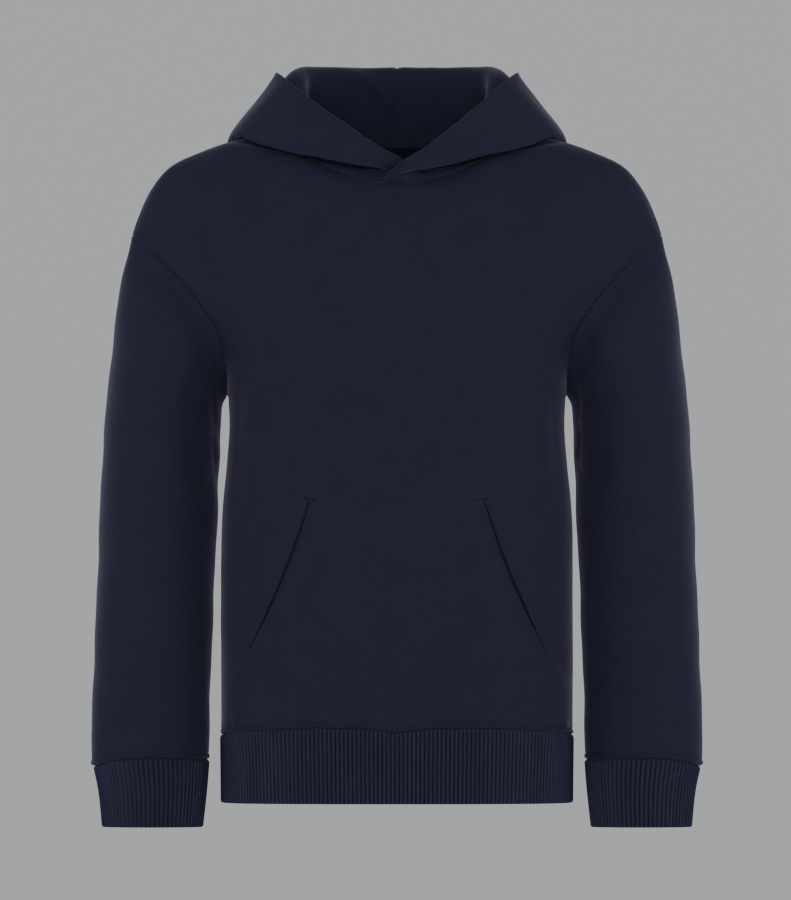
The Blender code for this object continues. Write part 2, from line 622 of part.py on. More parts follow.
def hood_grid(stations, under=False):
    """Half the hood: rows from the neck seam to the rim, columns from the front to the back."""
    stations = np.asarray(stations, float)
    seam = neck_seam(stations)
    rows = smooth_rows(HOOD, stations)
    crest, foot, rim = rows[:, 0:3].copy(), rows[:, 3:6].copy(), rows[:, 6:9].copy()
    crest_radius, foot_radius = rows[:, 9], rows[:, 10]
    side = -1.0 if under else 1.0
    for line in (crest, foot, rim):
        near = np.clip(1 - np.abs(line[:, 0]) / CROSSING_REACH, 0, 1) * (line[:, 1] < 0)
        line[:, 0] += side * CROSSING_SHIFT * near
    seam_shift, shift, flat_reach = UNDER_FLAP if under else OVER_FLAP
    near = np.clip(1 - stations / FLAP_STATIONS, 0, 1)[:, None]
    seam = seam + near * (0.0, seam_shift, 0.0)
    for line in (crest, foot, rim):
        line += near * (0.0, shift, 0.0)
    fold = np.clip((stations - HOOD_FRONT_END[False]) / flat_reach, 0, 1)[:, None]
    fold = fold * fold * (3 - 2 * fold)
    flat_crest = seam + (rim - seam) * CREST_ON_FLAP
    flat_foot = seam + (rim - seam) * FOOT_ON_FLAP
    crest = flat_crest + fold * (crest - flat_crest)
    foot = flat_foot + fold * (foot - flat_foot)
    surface = body_surface()
    resting = stations > FIRST_RESTING
    foot[resting] = lifted_off(foot[resting], surface, BODY_CLEARANCE)
    columns = []
    for index in range(len(seam)):
        share = fold[index]
        out = unit((foot[index] - seam[index]) * (1, 1, 0))
        straight = unit(rim[index] - seam[index])
        up = straight * (1 - share) + np.array([0.0, 0.0, 1.0]) * share
        turn = unit(out * share + straight * (1 - share))
        rise_span, fall_span = rim[index] - foot[index], foot[index] - crest[index]
        stand_span = crest[index] - seam[index]
        stand = hermite(seam[index], up * STRAIGHT_PULL * np.linalg.norm(stand_span),
                        crest[index], roll_pull(turn, stand_span, crest_radius[index]),
                        STAND_STEPS)
        fall = hermite(crest[index], roll_pull(turn, fall_span, crest_radius[index]),
                       foot[index], roll_pull(turn, fall_span, foot_radius[index]), FALL_STEPS)
        rise = hermite(foot[index], roll_pull(turn, rise_span, foot_radius[index]),
                       rim[index], rise_span * STRAIGHT_PULL, RISE_STEPS)
        if resting[index]:
            fall[:-1] = lifted_off(fall[:-1], surface, BODY_CLEARANCE)
        columns.append(np.vstack([stand, fall, rise]))
    return np.stack(columns, axis=1)


def hood_walls(under):
    """Outer and inner points of the hood's left half, or of its right half, which goes under."""
    stations = np.concatenate([[HOOD_FRONT_END[under]], HOOD_STATIONS])
    outer = hood_grid(stations, under)
    inward = -outward(outer)
    inward[0] = unit(inward[0] * (1, 1, 0))
    inward[:, -1, 0] = 0.0
    inward[:, -1] = unit(inward[:, -1])
    outer[:, -1, 0] += SEAM_GAP / 2
    outer[0, :, 2] += NECK_GAP / 2
    grown = np.clip(stations / WALL_STATIONS, 0, 1)
    wall = HOOD_FLEECE_AT_END + (HOOD_FLEECE - HOOD_FLEECE_AT_END) * grown
    inner = outer + wall[None, :, None] * inward
    foot = len(STAND_STEPS) + len(FALL_STEPS) - 1
    low, high = foot - FOOT_REACH, foot + FOOT_REACH
    for _ in range(FOOT_SMOOTHING):
        beside = inner[low - 1:high - 1] + inner[low + 1:high + 1]
        inner[low:high] = (inner[low:high] * 2 + beside) / 4
    if under:
        return mirrored(outer), mirrored(inner)
    return outer, inner


# ---- materials, pocket and tape -----------------------------------------------------------
def new_material(name):
    """Matte cloth of one colour."""
    colour = COLOURS[name]
    made = bpy.data.materials.new(name)
    made.use_nodes = True
    shader = made.node_tree.nodes["Principled BSDF"]
    shader.inputs["Base Color"].default_value = (*colour, 1.0)
    shader.inputs["Roughness"].default_value = ROUGHNESS
    shader.inputs["Metallic"].default_value = 0.0
    made.diffuse_color = (*colour, 1.0)
    return made


def slit_cutter(side, collection):
    """A tall lens that cuts one pocket slit through the front panel."""
    top, bottom = np.array(SLIT_TOP), np.array(SLIT_BOTTOM)
    along = bottom - top
    length = np.linalg.norm(along)
    along = along / length
    inward = np.array([along[1], -along[0]])
    if inward[0] > 0:
        inward = -inward
    edge_near, edge_far = [], []
    for step in range(SLIT_STEPS + 1):
        share = step / SLIT_STEPS
        bow = 4 * share * (1 - share)
        middle = top + along * length * share + inward * SLIT_BOW * bow
        half = SLIT_WIDTH / 2 * (SLIT_END + (1 - SLIT_END) * bow)
        edge_near.append(middle + inward * half)
        edge_far.append(middle - inward * half)
    outline = edge_near + edge_far[::-1]
    points = [(side * x, y, z) for y in CUTTER_SPAN for x, z in outline]
    count = len(outline)
    faces = [tuple(range(count)), tuple(range(2 * count - 1, count - 1, -1))]
    faces += [(i, i + count, (i + 1) % count + count, (i + 1) % count) for i in range(count)]
    mesh = bpy.data.meshes.new("slit_cutter")
    mesh.from_pydata([tuple(point) for point in np.array(points) * MM], [], faces)
    shape = bmesh.new()
    shape.from_mesh(mesh)
    bmesh.ops.recalc_face_normals(shape, faces=shape.faces)
    shape.to_mesh(mesh)
    shape.free()
    item = bpy.data.objects.new("slit_cutter", mesh)
    item.hide_render = True
    item.display_type = "WIRE"
    collection.objects.link(item)
    return item


def pocket_bag(cloth, collection):
    """The bag behind both slits: the front's points moved in, from above the slits to the hem."""
    panel = whole_panel(-1)
    inward = -outward(panel)
    inward[0] = unit(inward[0] * (1, 1, 0))
    top = np.argmin(np.abs(panel[:, HALF, 2] - BAG_TOP))
    rows = slice(0, top + 1)
    keep = np.abs(panel[0, :, 0]) <= BAG_HALF_WIDTH
    turn = inward[rows, keep]
    outer = panel[rows, keep] + turn * (FLEECE + LAYER_GAP)
    outer[0, :, 2] += SEAM_GAP / 2
    return open_wall("pocket_bag", outer, outer + turn * BAG_CLOTH, cloth, collection)


def neck_tape(cloth, collection):
    """A strip along the inside of the back neck, on both halves of the hood's stand."""
    stations = np.arange(TAPE_FIRST_STATION, HOOD[-1, 0] + 1)
    columns = []
    for height in (TAPE_BOTTOM, TAPE_BOTTOM + TAPE_HEIGHT / 2, TAPE_BOTTOM + TAPE_HEIGHT):
        half = stand_at(stations, height)
        columns.append(np.vstack([half, half[-2::-1] * (-1, 1, 1)]))
    base = np.array(columns)
    inward = -outward(base)
    outer = base + inward * (HOOD_FLEECE + LAYER_GAP)
    return open_wall("neck_tape", outer, outer + inward * TAPE_CLOTH, cloth, collection)


def stand_at(stations, height):
    """Points of the hood's outer side at a height above the neck seam."""
    grid = hood_grid(stations)
    points = []
    for column in range(len(stations)):
        line = grid[:len(STAND_STEPS), column]
        wanted = line[0, 2] + height
        points.append([np.interp(wanted, line[:, 2], line[:, axis]) for axis in range(3)])
    return np.array(points)


def clear_scene():
    for item in list(bpy.data.objects):
        bpy.data.objects.remove(item, do_unlink=True)


def new_collection(name):
    made = bpy.data.collections.new(name)
    bpy.context.scene.collection.children.link(made)
    return made


def main():
    clear_scene()
    parts = new_collection("toddler_hoodie")
    cutters = new_collection("cutters")
    fleece, rib, tape = (new_material(name) for name in COLOURS)
    front = open_wall("front", *panel_walls(-1), fleece, parts)
    for side in (-1, 1):
        cut = front.modifiers.new("pocket_slit", "BOOLEAN")
        cut.operation = "DIFFERENCE"
        cut.solver = "EXACT"
        cut.object = slit_cutter(side, cutters)
    open_wall("back", *panel_walls(1), fleece, parts)
    outer, inner = sleeve_walls()
    tube_wall("sleeve_left", outer, inner, fleece, parts)
    tube_wall("sleeve_right", mirrored(outer), mirrored(inner), fleece, parts)
    open_wall("hood_left", *hood_walls(False), fleece, parts)
    open_wall("hood_right", *hood_walls(True), fleece, parts)
    neck_tape(tape, parts)
    pocket_bag(fleece, parts)
    tube_wall("hem_rib", *hem_walls(), rib, parts)
    outer, inner = cuff_walls()
    tube_wall("cuff_left", outer, inner, rib, parts)
    tube_wall("cuff_right", mirrored(outer), mirrored(inner), rib, parts)


main()
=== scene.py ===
"""Looks of the toddler hoodie: navy cotton fleece, filled out as worn, sleeves and hood down.

Every cloth piece is a thin wall on its solid's form, with its creases, rolled seams, raised ribs
and stitching. Axes: +X is the wearer's left, the front faces -Y, +Z is up, and the origin is the
middle of the neck. Tables and sizes are in millimetres.
"""
import math

import bpy
import numpy as np
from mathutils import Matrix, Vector
from mathutils.kdtree import KDTree


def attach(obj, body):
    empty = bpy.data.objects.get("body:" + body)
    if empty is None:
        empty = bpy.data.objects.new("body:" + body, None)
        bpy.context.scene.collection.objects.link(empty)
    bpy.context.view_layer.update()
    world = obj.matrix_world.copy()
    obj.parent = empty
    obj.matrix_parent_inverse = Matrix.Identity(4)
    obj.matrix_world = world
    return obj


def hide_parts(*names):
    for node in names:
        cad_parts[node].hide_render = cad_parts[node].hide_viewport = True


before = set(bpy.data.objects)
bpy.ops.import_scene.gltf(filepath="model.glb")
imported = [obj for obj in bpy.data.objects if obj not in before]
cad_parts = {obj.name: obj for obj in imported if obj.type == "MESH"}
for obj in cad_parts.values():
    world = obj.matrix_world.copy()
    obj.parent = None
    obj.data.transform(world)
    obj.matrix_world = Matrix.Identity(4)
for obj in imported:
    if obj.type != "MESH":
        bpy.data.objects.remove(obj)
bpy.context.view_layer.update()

MM = 0.001
FULL_TURN = 2 * math.pi
BODY = "root"
LEVEL = (1, 1, 0)  # the axes that a direction keeps when it is laid level
UPRIGHT = (1, 0, 1)
MIDDLE_PLANE = (0, 1, 1)
MIRROR = (-1, 1, 1)
RIGHT_AND_LEFT = (-1, 1)
FRONT_AND_BACK = (-1, 1)

# ---- cloth ----
FLEECE = 2.0
HOOD_FLEECE = 2.2
HOOD_FLEECE_AT_END = 1.3
BAG_CLOTH = 1.2
TAPE_CLOTH = 1.0
RIB_CLOTH = 1.9
RIB_RELIEF = 1.4
SEAM_GAP = -0.16
ARMHOLE_GAP = -0.2
NECK_GAP = -0.2
LAYER_GAP = 0.4
BODY_RIBS = 240
SLEEVE_RIBS = 72
POINTS_PER_RIB = 6

# ---- the form, as in the solids ----
# height, half width, depth in front, depth behind, squareness
TORSO = np.array([
    (-418.0, 108.6, 77.0, 71.0, 2.8), (-376.0, 109.0, 79.0, 73.0, 2.8),
    (-300.0, 109.0, 82.0, 76.0, 2.6), (-235.0, 108.0, 84.0, 78.0, 2.5),
    (-205.0, 105.2, 84.5, 79.0, 2.45), (-184.0, 103.8, 84.0, 79.0, 2.4),
    (-166.0, 104.6, 83.0, 79.0, 2.4), (-135.0, 106.0, 81.5, 78.0, 2.5),
    (-80.0, 107.0, 79.0, 75.0, 2.5),
])
UNDERARM = -166.0
CHEST_SPRING = {-1: -112.0, 1: -88.0}
CHEST_ROUND = 1.45
SHOULDER_ROUND = 2.0
SHOULDER_ROUND_SHARE = 0.8
DRIFT_POWER = 1.6
# share of the way from the centre to the side, height
HEM_SEAM = {
    -1: np.array([(0.0, -374.5), (0.09, -372.6), (0.3, -371.6), (0.6, -373.0), (1.0, -376.0)]),
    1: np.array([(0.0, -373.0), (0.5, -373.8), (1.0, -376.0)]),
}
HEM_BOTTOM = -418.0
NECK_HALF_WIDTH = 70.0
NECK_DROP = {-1: 34.0, 1: 12.6}
NECK_DEPTH = {-1: 58.0, 1: 47.0}
NECK_CURVES = ((2.4, 0.72), (2.3, 0.5))  # powers of the drop and of the depth
SHOULDER_SEAM = np.array([
    (70.0, 0.0, 0.0), (84.0, -2.0, -4.2), (103.0, -4.0, -8.6), (121.0, -5.0, -14.9),
    (140.0, -5.0, -24.2), (152.0, -5.0, -39.0), (160.0, -5.0, -56.0), (164.0, -5.0, -66.5),
])
ARMHOLE = np.array([
    (164.0, -5.0, -66.5), (143.2, -29.0, -84.3), (123.2, -41.0, -106.6), (107.6, -35.0, -133.5),
    (105.4, 0.0, -166.0), (110.0, 38.0, -137.0), (123.0, 50.0, -104.0), (143.0, 33.0, -81.0),
])
ARM_AXIS = np.array([0.86, 0.0, -0.51])
ARMHOLE_PULL = 3.0
EDGE_SEARCH = np.linspace(0.7, 1.0, 601)  # shares of a row at which it may meet the armhole
# outer edge x z, inner edge x z, middle y, half depth
SLEEVE = np.array([
    (164.0, -66.5, 105.4, -166.0, 3.0, 47.0),
    (171.3, -97.0, 108.4, -173.0, 4.0, 48.5),
    (176.0, -132.0, 109.2, -187.0, 4.0, 49.0),
    (180.3, -172.0, 109.8, -208.0, 3.0, 48.5),
    (183.6, -222.0, 111.0, -238.0, 0.0, 47.0),
    (185.4, -272.0, 112.8, -276.0, -4.0, 43.5),
    (187.4, -322.0, 114.6, -322.0, -9.0, 38.0),
    (188.8, -360.0, 115.9, -358.0, -13.0, 33.0),
    (189.2, -395.0, 116.4, -391.0, -16.0, 29.5),
])
ARMHOLE_FADE = 0.34
HEM_FAN = 3.0  # how far the hem's ribs lean beside the side seams
CUFF_SEAM_FRONT = -390.0
CUFF_SEAM_DROP = {1: 5.0, -1: 1.0}
# height at the middle, half width, half depth, middle x, middle y
CUFF = np.array([
    (-391.5, 35.9, 28.5, 152.5, -16.0),
    (-409.0, 33.3, 26.2, 151.3, -17.0),
    (-433.0, 30.7, 24.2, 151.3, -18.0),
])
# station, crest x y z, foot x y z, rim x y z, radius of the crest's roll, radius of the foot's
HOOD = np.array([
    (-0.5, -9.0, -62.0, -31.0, -9.0, -66.0, -31.5, -9.0, -66.0, -29.5, 1.5, 1.5),
    (0.0, -1.0, -60.5, -28.0, 1.0, -67.0, -28.6, 0.0, -65.5, -20.8, 2.0, 2.6),
    (1.0, 13.0, -57.0, -25.5, 17.0, -65.5, -26.4, 12.0, -60.5, -13.5, 2.6, 3.4),
    (2.0, 26.5, -52.5, -20.5, 34.5, -61.0, -23.2, 25.0, -52.0, -4.5, 3.0, 3.6),
    (3.0, 38.0, -43.5, -13.0, 51.0, -50.5, -19.2, 38.5, -41.5, 5.8, 3.5, 3.8),
    (4.0, 47.5, -32.0, -3.0, 67.0, -38.0, -15.2, 51.0, -29.5, 15.5, 4.0, 3.8),
    (5.0, 54.5, -18.0, 9.0, 83.5, -21.0, -10.0, 62.0, -15.0, 24.8, 5.0, 3.8),
    (6.0, 59.5, -3.0, 21.0, 98.5, -1.0, -7.0, 70.5, 1.5, 32.0, 6.0, 3.8),
    (7.0, 62.0, 13.0, 31.5, 103.0, 25.0, -16.0, 75.0, 19.0, 35.0, 6.5, 5.0),
    (8.0, 59.0, 28.0, 36.2, 97.0, 57.0, -56.0, 73.0, 44.0, 31.5, 7.0, 7.0),
    (9.0, 49.0, 41.5, 36.5, 81.0, 80.0, -100.0, 64.0, 69.0, 26.5, 7.5, 9.0),
    (10.0, 34.5, 51.0, 36.5, 57.0, 92.0, -130.0, 47.0, 89.0, 21.5, 8.0, 10.0),
    (11.0, 18.0, 56.5, 36.5, 29.0, 97.0, -146.0, 25.0, 101.0, 18.0, 8.0, 11.0),
    (12.0, 0.0, 58.5, 36.5, 0.0, 98.5, -150.0, 0.0, 105.0, 16.5, 8.0, 11.0),
])
# front end of the half that lies over and of the one that goes under
HOOD_FRONT_END = {False: -0.5, True: -0.2}
CROSSING_SHIFT = 5.0
CROSSING_REACH = 62.0
# y shift of the neck seam and of the other lines, stations from the end until it is open
OVER_FLAP = (-1.4, -2.5, 1.1)
UNDER_FLAP = (1.4, 7.0, 2.2)
FLAP_STATIONS = 2.0
CREST_ON_FLAP = 0.3
FOOT_ON_FLAP = 0.6
STRAIGHT_PULL = 0.9
FOOT_SHARPNESS = 0.62
FOOT_LIFT = 2.3
FOOT_PRESSED = 0.70  # share of the cloth's thickness lost in the sharp fold
UNDER_FOOT = (5.0, 0.25, 1.25)  # groove in the stand below the fold: depth, height, width
RIM_BEAD = (0.45, 1.4)  # the free edge's raised line: height, width
FIRST_RESTING = 2.5
BODY_CLEARANCE = 1.9
LIFT_PASSES = 3
WALL_STATIONS = 3.0  # over these the cloth grows from its thickness at the end to its full one
# stations at the shoulder point and at the centre back
SHOULDER_STATION = 6.0
BACK_STATION = 12.0
SLIT_TOP = (54.0, -231.3)
SLIT_BOTTOM = (91.2, -322.0)
SLIT_BOW = 2.7
SLIT_HALF_WIDTH = (0.55, 1.4)  # at its ends and in the middle
SLIT_BACK = (-228.0, 50.0)  # above this height its column turns back, over this far
BAG_TOP = -222.0
BAG_HALF_WIDTH = 98.0
TAPE_BOTTOM = 0.7
TAPE_HEIGHT = 9.0
TAPE_STITCH_ROWS = (2, -3)

# ---- creases: start (x, z), end (x, z), bow, width, depth; a ridge has a negative depth ----
def on_both_sides(*creases):
    """The given creases and their mirror images."""
    return [(sign * x0, z0, sign * x1, z1, sign * bow, width, depth)
            for x0, z0, x1, z1, bow, width, depth in creases for sign in RIGHT_AND_LEFT]


FRONT_CREASES = np.array([
    (112.0, -66.0, 88.0, -112.0, 3.0, 12.0, 0.7),
    (-114.0, -62.0, -90.0, -116.0, -3.0, 12.0, 0.8),
    (98.0, -170.0, 100.0, -226.0, 1.0, 4.5, 0.9),
    (-98.0, -166.0, -100.0, -230.0, -1.0, 4.5, 1.0),
    (-72.0, -366.0, -26.0, -352.0, -1.5, 3.0, -0.3),
    (34.0, -358.0, 78.0, -366.0, 1.5, 3.0, -0.28),
    (0.0, -340.0, 0.5, -371.0, 0.0, 5.0, 0.35),
    (-48.0, -60.0, -74.0, -108.0, 4.0, 10.0, 0.5),
    (44.0, -58.0, 78.0, -104.0, -4.0, 10.0, 0.5),
] + on_both_sides(
    (92.0, -324.0, 102.0, -344.0, 0.8, 2.4, -0.75),
    (104.0, -6.6, 83.0, -10.6, 0.0, 1.4, 2.2),
    (84.0, -10.4, 50.0, -19.2, 0.0, 1.4, 2.2),
))
BACK_CREASES = np.array([
    (96.0, -150.0, 60.0, -172.0, 4.0, 9.0, 1.3),
    (-98.0, -156.0, -58.0, -182.0, -4.0, 8.0, 1.1),
    (100.0, -186.0, 52.0, -206.0, 5.0, 10.0, 1.0),
    (-101.0, -198.0, -64.0, -214.0, -4.0, 9.0, 1.2),
    (-62.0, -262.0, 58.0, -270.0, 8.0, 13.0, 1.0),
    (-40.0, -316.0, 70.0, -306.0, -7.0, 12.0, 0.9),
    (-88.0, -338.0, -30.0, -350.0, 3.0, 7.0, 0.6),
    (28.0, -352.0, 86.0, -342.0, 3.0, 7.0, 0.6),
    (88.0, -96.0, 60.0, -140.0, 5.0, 11.0, 0.9),
    (-90.0, -92.0, -62.0, -132.0, -5.0, 11.0, 0.8),
] + on_both_sides((136.0, -62.0, 106.0, -130.0, 2.0, 9.0, -2.8)))
# on a sleeve: start (degrees round from the outer side by the front, z), end, bow, width, depth
SLEEVE_CREASES = np.array([
    (126.0, -112.0, 142.0, -214.0, 0.0, 17.0, 4.5),
    (30.0, -118.0, 96.0, -140.0, 3.0, 7.0, 0.35),
    (112.0, -150.0, 172.0, -186.0, 4.0, 7.0, 1.1),
    (120.0, -196.0, 176.0, -214.0, -3.0, 7.0, 0.9),
    (96.0, -236.0, 158.0, -248.0, 4.0, 8.0, 0.6),
    (60.0, -290.0, 128.0, -281.0, -4.0, 9.0, 0.45),
    (20.0, -352.0, 100.0, -360.0, 3.0, 5.0, 0.40),
    (70.0, -372.0, 150.0, -368.0, -2.0, 4.0, 0.45),
    (196.0, -228.0, 262.0, -250.0, 5.0, 8.0, 1.5),
    (204.0, -252.0, 286.0, -262.0, -5.0, 8.0, 1.6),
    (190.0, -276.0, 270.0, -284.0, 4.0, 8.0, 1.2),
    (210.0, -206.0, 268.0, -212.0, -4.0, 8.0, 1.1),
    (192.0, -168.0, 240.0, -150.0, 4.0, 8.0, 1.3),
    (212.0, -306.0, 300.0, -318.0, 5.0, 9.0, 0.8),
    (216.0, -354.0, 318.0, -350.0, -3.0, 6.0, 0.6),
    (240.0, -374.0, 330.0, -370.0, 2.0, 4.5, 0.5),
])
# by layer of a hood half, from one share of its rows to another
HOOD_CREASES = {
    (0.0, 0.3): (
        (-28.0, 32.0, -3.0, 9.0, -5.5, 3.4, 2.6),
        (-3.0, 16.0, -1.8, -8.0, 0.0, 1.7, 1.6),
        (-20.0, 20.0, -5.0, -2.0, -3.0, 6.0, -0.5),
        (20.0, 32.0, 44.0, 8.0, 4.0, 6.0, 0.9),
        (8.0, 6.0, 30.0, -2.0, -2.0, 5.0, 0.5),
        (-50.0, 26.0, -34.0, 0.0, 3.0, 5.0, 0.7),
    ),
    (0.55, 1.0): (
        (-60.0, 2.0, 18.0, -24.0, 12.0, 11.0, 1.6),
        (64.0, -12.0, -10.0, -52.0, -12.0, 11.0, 1.6),
        (-70.0, -42.0, -8.0, -84.0, 10.0, 12.0, 1.8),
        (68.0, -60.0, 14.0, -104.0, -9.0, 11.0, 1.5),
        (-44.0, -104.0, 10.0, -122.0, 5.0, 9.0, 1.0),
    ),
}

# ---- seams: the dip, the roll beside it and the stitches' groove, each (height, place, width) ----
ROLLED_RIB_SEAM = ((-1.25, 0.0, 0.55), (0.45, 1.55, 0.85), (-0.32, 3.4, 0.45))
ROLLED_CUFF_SEAM = ((-1.35, 0.0, 0.6), (0.5, 1.75, 1.0), (-0.34, 3.9, 0.5))
PLAIN_SEAM = ((-0.75, 0.0, 0.55), (0.12, 1.6, 0.8))
SIDE_SEAM = ((-0.6, 0.0, 0.6),)
ARMHOLE_SINK = (4.6, 1.30, 0.85)  # depth, place round the armhole, its spread
SINK_BEHIND = 0.6  # share of that depth by which the seam lies forward at the back
# where the sink ends on a panel: at place 0, less for each place, least, width, past the end
SINK_EDGE = (33.0, 10.0, 1.5, 18.0, 2.0)
SINK_ON_SLEEVE = 17.0
SEAM_TURN = 1.2  # within this of the armhole the cloth's edge turns into the seam
STITCH_LINE = {"hem": 3.4, "cuff": 3.9}
STITCH_LENGTH = 2.3
STITCH_PITCH = 2.9
STITCH_WIDTH = 0.42
# outer end, inner end, stitches, their length
BAR_TACK = ((57.5, -229.1), (50.0, -230.9), 15, 1.4)
TACK_SPARE = 0.05  # room past each end of a tack's stitch
ONE_ONLY = 99.0  # a pitch that leaves room for one stitch
# along a stitch: place, share of its full width
STITCH_RINGS = ((-0.5, 0.25), (-0.38, 0.8), (0.0, 1.0), (0.38, 0.8), (0.5, 0.25))
STITCH_SIDES = 6
# in widths: half the thickness, height of the middle, dip at the ends
STITCH_LIFT = (0.6, 0.25, 0.5)
LOOK_AHEAD = 0.5  # along the path, for a stitch's direction
SHARP_DEGREES = 55.0  # a cloth's edge that turns by more is shaded sharp

NAVY = (0.0140, 0.0150, 0.0344)
NAVY_RIB = (0.0229, 0.0244, 0.0544)
NAVY_TAPE = (0.0160, 0.0165, 0.0325)
NAVY_THREAD = (0.0105, 0.0112, 0.0225)


# ---- curves and fields ----
def catmull(knots, places, closed=False):
    """Points of a smooth curve through knots; a place of 2.5 is half way from knot 2 to knot 3."""
    count = len(knots)
    places = np.asarray(places, float)
    ring = knots
    if not closed:
        ring = np.vstack([2 * knots[0] - knots[1], knots, 2 * knots[-1] - knots[-2]])
    low = np.floor(places).astype(int)
    if not closed:
        low = np.clip(low, 0, count - 2)
    t = (places - low)[:, None]
    first = low - 1 if closed else low
    a, b, c, d = (ring[(first + step) % len(ring)] for step in range(4))
    return 0.5 * (2 * b + (c - a) * t + (2 * a - 5 * b + 4 * c - d) * t ** 2
                  + (3 * b - a - 3 * c + d) * t ** 3)


def hermite(start, start_pull, end, end_pull, steps):
    """Points from start to end that leave and arrive along the two pulls."""
    t = np.asarray(steps, float)[:, None]
    return (start * (1 + 2 * t) * (1 - t) ** 2 + start_pull * t * (1 - t) ** 2
            + end * (3 - 2 * t) * t ** 2 - end_pull * (1 - t) * t ** 2)


def smooth_rows(table, keys):
    """Rows of a table whose first column is its key, read smoothly between the rows."""
    known = table[:, 0]
    values = table[:, 1:]
    slopes = np.gradient(values, known, axis=0)
    keys = np.clip(np.atleast_1d(np.asarray(keys, float)), known[0], known[-1])
    low = np.clip(np.searchsorted(known, keys) - 1, 0, len(known) - 2)
    step = (known[low + 1] - known[low])[:, None]
    t = (keys - known[low]) / step[:, 0]
    return hermite(values[low], slopes[low] * step, values[low + 1], slopes[low + 1] * step, t)


def lengths(points, axis):
    """Length along a grid's rows or columns, from the first point."""
    steps = np.linalg.norm(np.diff(points, axis=axis), axis=-1)
    start = np.zeros_like(np.take(steps, [0], axis))
    return np.concatenate([start, np.cumsum(steps, axis=axis)], axis=axis)


def read_between(values, known, wanted):
    """Rows of values at the wanted places, read in a straight line between the known ones."""
    return np.stack([np.interp(wanted, known, column) for column in values.T], axis=-1)


def spaced(points, shares):
    """Points at the given shares of a line's length."""
    along = lengths(points, 0)
    return read_between(points, along, np.asarray(shares) * along[-1])


def unit(vectors, axes=(1, 1, 1)):
    """Vectors of length 1, kept to the given axes."""
    vectors = vectors * axes
    return vectors / np.linalg.norm(vectors, axis=-1, keepdims=True)


def eased(values):
    """0 below 0, 1 above 1, and smooth between."""
    values = np.clip(values, 0.0, 1.0)
    return values * values * (3 - 2 * values)


def bell(values, width):
    """1 at 0, falling smoothly to nothing a few widths away."""
    return np.exp(-(values / width) ** 2)


def seam_profile(distance, profile):
    """Height of the cloth beside a seam at a distance from it."""
    return sum(height * bell(distance - place, width) for height, place, width in profile)


# shares of a crease's length: how far it runs past its ends, and over how much it fades
CREASE_END = (0.25, 0.4)


def crease_height(across, up, creases):
    """Height of the cloth where its creases press it in, on a chart in millimetres."""
    total = np.zeros_like(across)
    past, fade = CREASE_END
    for x0, z0, x1, z1, bow, width, depth in creases:
        run, climb = x1 - x0, z1 - z0
        length = math.hypot(run, climb)
        share = ((across - x0) * run + (up - z0) * climb) / length ** 2
        off = ((across - x0) * climb - (up - z0) * run) / length
        off = off - bow * 4 * share * (1 - share)
        ends = eased((np.minimum(share, 1 - share) + past) / fade)
        total -= depth * bell(off, width) * ends
    return total


def ripple(across, up, waves):
    """A sum of slow waves: height, length across, length up, shift."""
    return sum(height * np.sin(FULL_TURN * (across / long_across + up / long_up) + shift)
               for height, long_across, long_up, shift in waves)


BODY_WAVES = ((0.22, 61.0, 143.0, 0.3), (0.16, -47.0, 88.0, 1.9), (0.10, 29.0, -37.0, 4.1))
SLEEVE_WAVES = ((0.20, 90.0, 61.0, 0.8), (0.14, -120.0, 33.0, 2.6))
HOOD_WAVES = ((0.18, 53.0, 71.0, 1.1), (0.12, -37.0, 49.0, 0.2))
# the second length doesn't count, as they run along the hem only
PUCKERS = ((0.16, 7.3, 1.0, 0.4), (0.12, 11.9, 1.0, 2.0), (0.1, 4.9, 1.0, 5.0))
PUCKER_BAND = (4.0, 5.0)  # height over the hem seam and spread
HEM_CALM = (-372.0, 30.0, 0.3)  # creases grow above this height, over this, from this share
PANEL_FADES = (12.0, 10.0)  # creases fade this near the sides and this near the top
DRAWN_IN = {-1: 4.2, 1: 2.6}  # how far the rib draws the middle in, in front and behind
DRAWN_WIDTH = 64.0
DRAWN_FROM = (-292.0, 80.0)  # height where that starts, and over how far it grows
LET_GO = (-378.0, 40.0, 0.85)  # height where it ends, over how far, by what share


def drawn_in(across, height, side):
    """How far the rib draws the middle of the body in at the hem seam."""
    fall = eased((DRAWN_FROM[0] - height) / DRAWN_FROM[1])
    relax = 1 - LET_GO[2] * eased((LET_GO[0] - height) / LET_GO[1])
    return DRAWN_IN[side] * bell(across, DRAWN_WIDTH) * fall * relax


# ---- body panels ----
SECTION_HEIGHTS = np.arange(-420.0, -79.0, 2.0)
SECTION_SHARES = np.linspace(0.0, 1.0, 241)
QUARTER_TURN = np.linspace(0.0, math.pi / 2, 481)


def section_table(side):
    """Level sections of the torso at every height, each at even shares of its length."""
    across, out = np.sin(QUARTER_TURN), np.cos(QUARTER_TURN)
    table = []
    for half_width, front, back, square in smooth_rows(TORSO, SECTION_HEIGHTS):
        depth = front if side < 0 else back
        reach = ((across / half_width) ** square + (out / depth) ** square) ** (-1 / square)
        line = np.stack([reach * across, side * reach * out], axis=1)
        line[-1, 1] = 0.0
        table.append(spaced(line, SECTION_SHARES))
    return np.array(table)


SECTIONS = {side: section_table(side) for side in FRONT_AND_BACK}


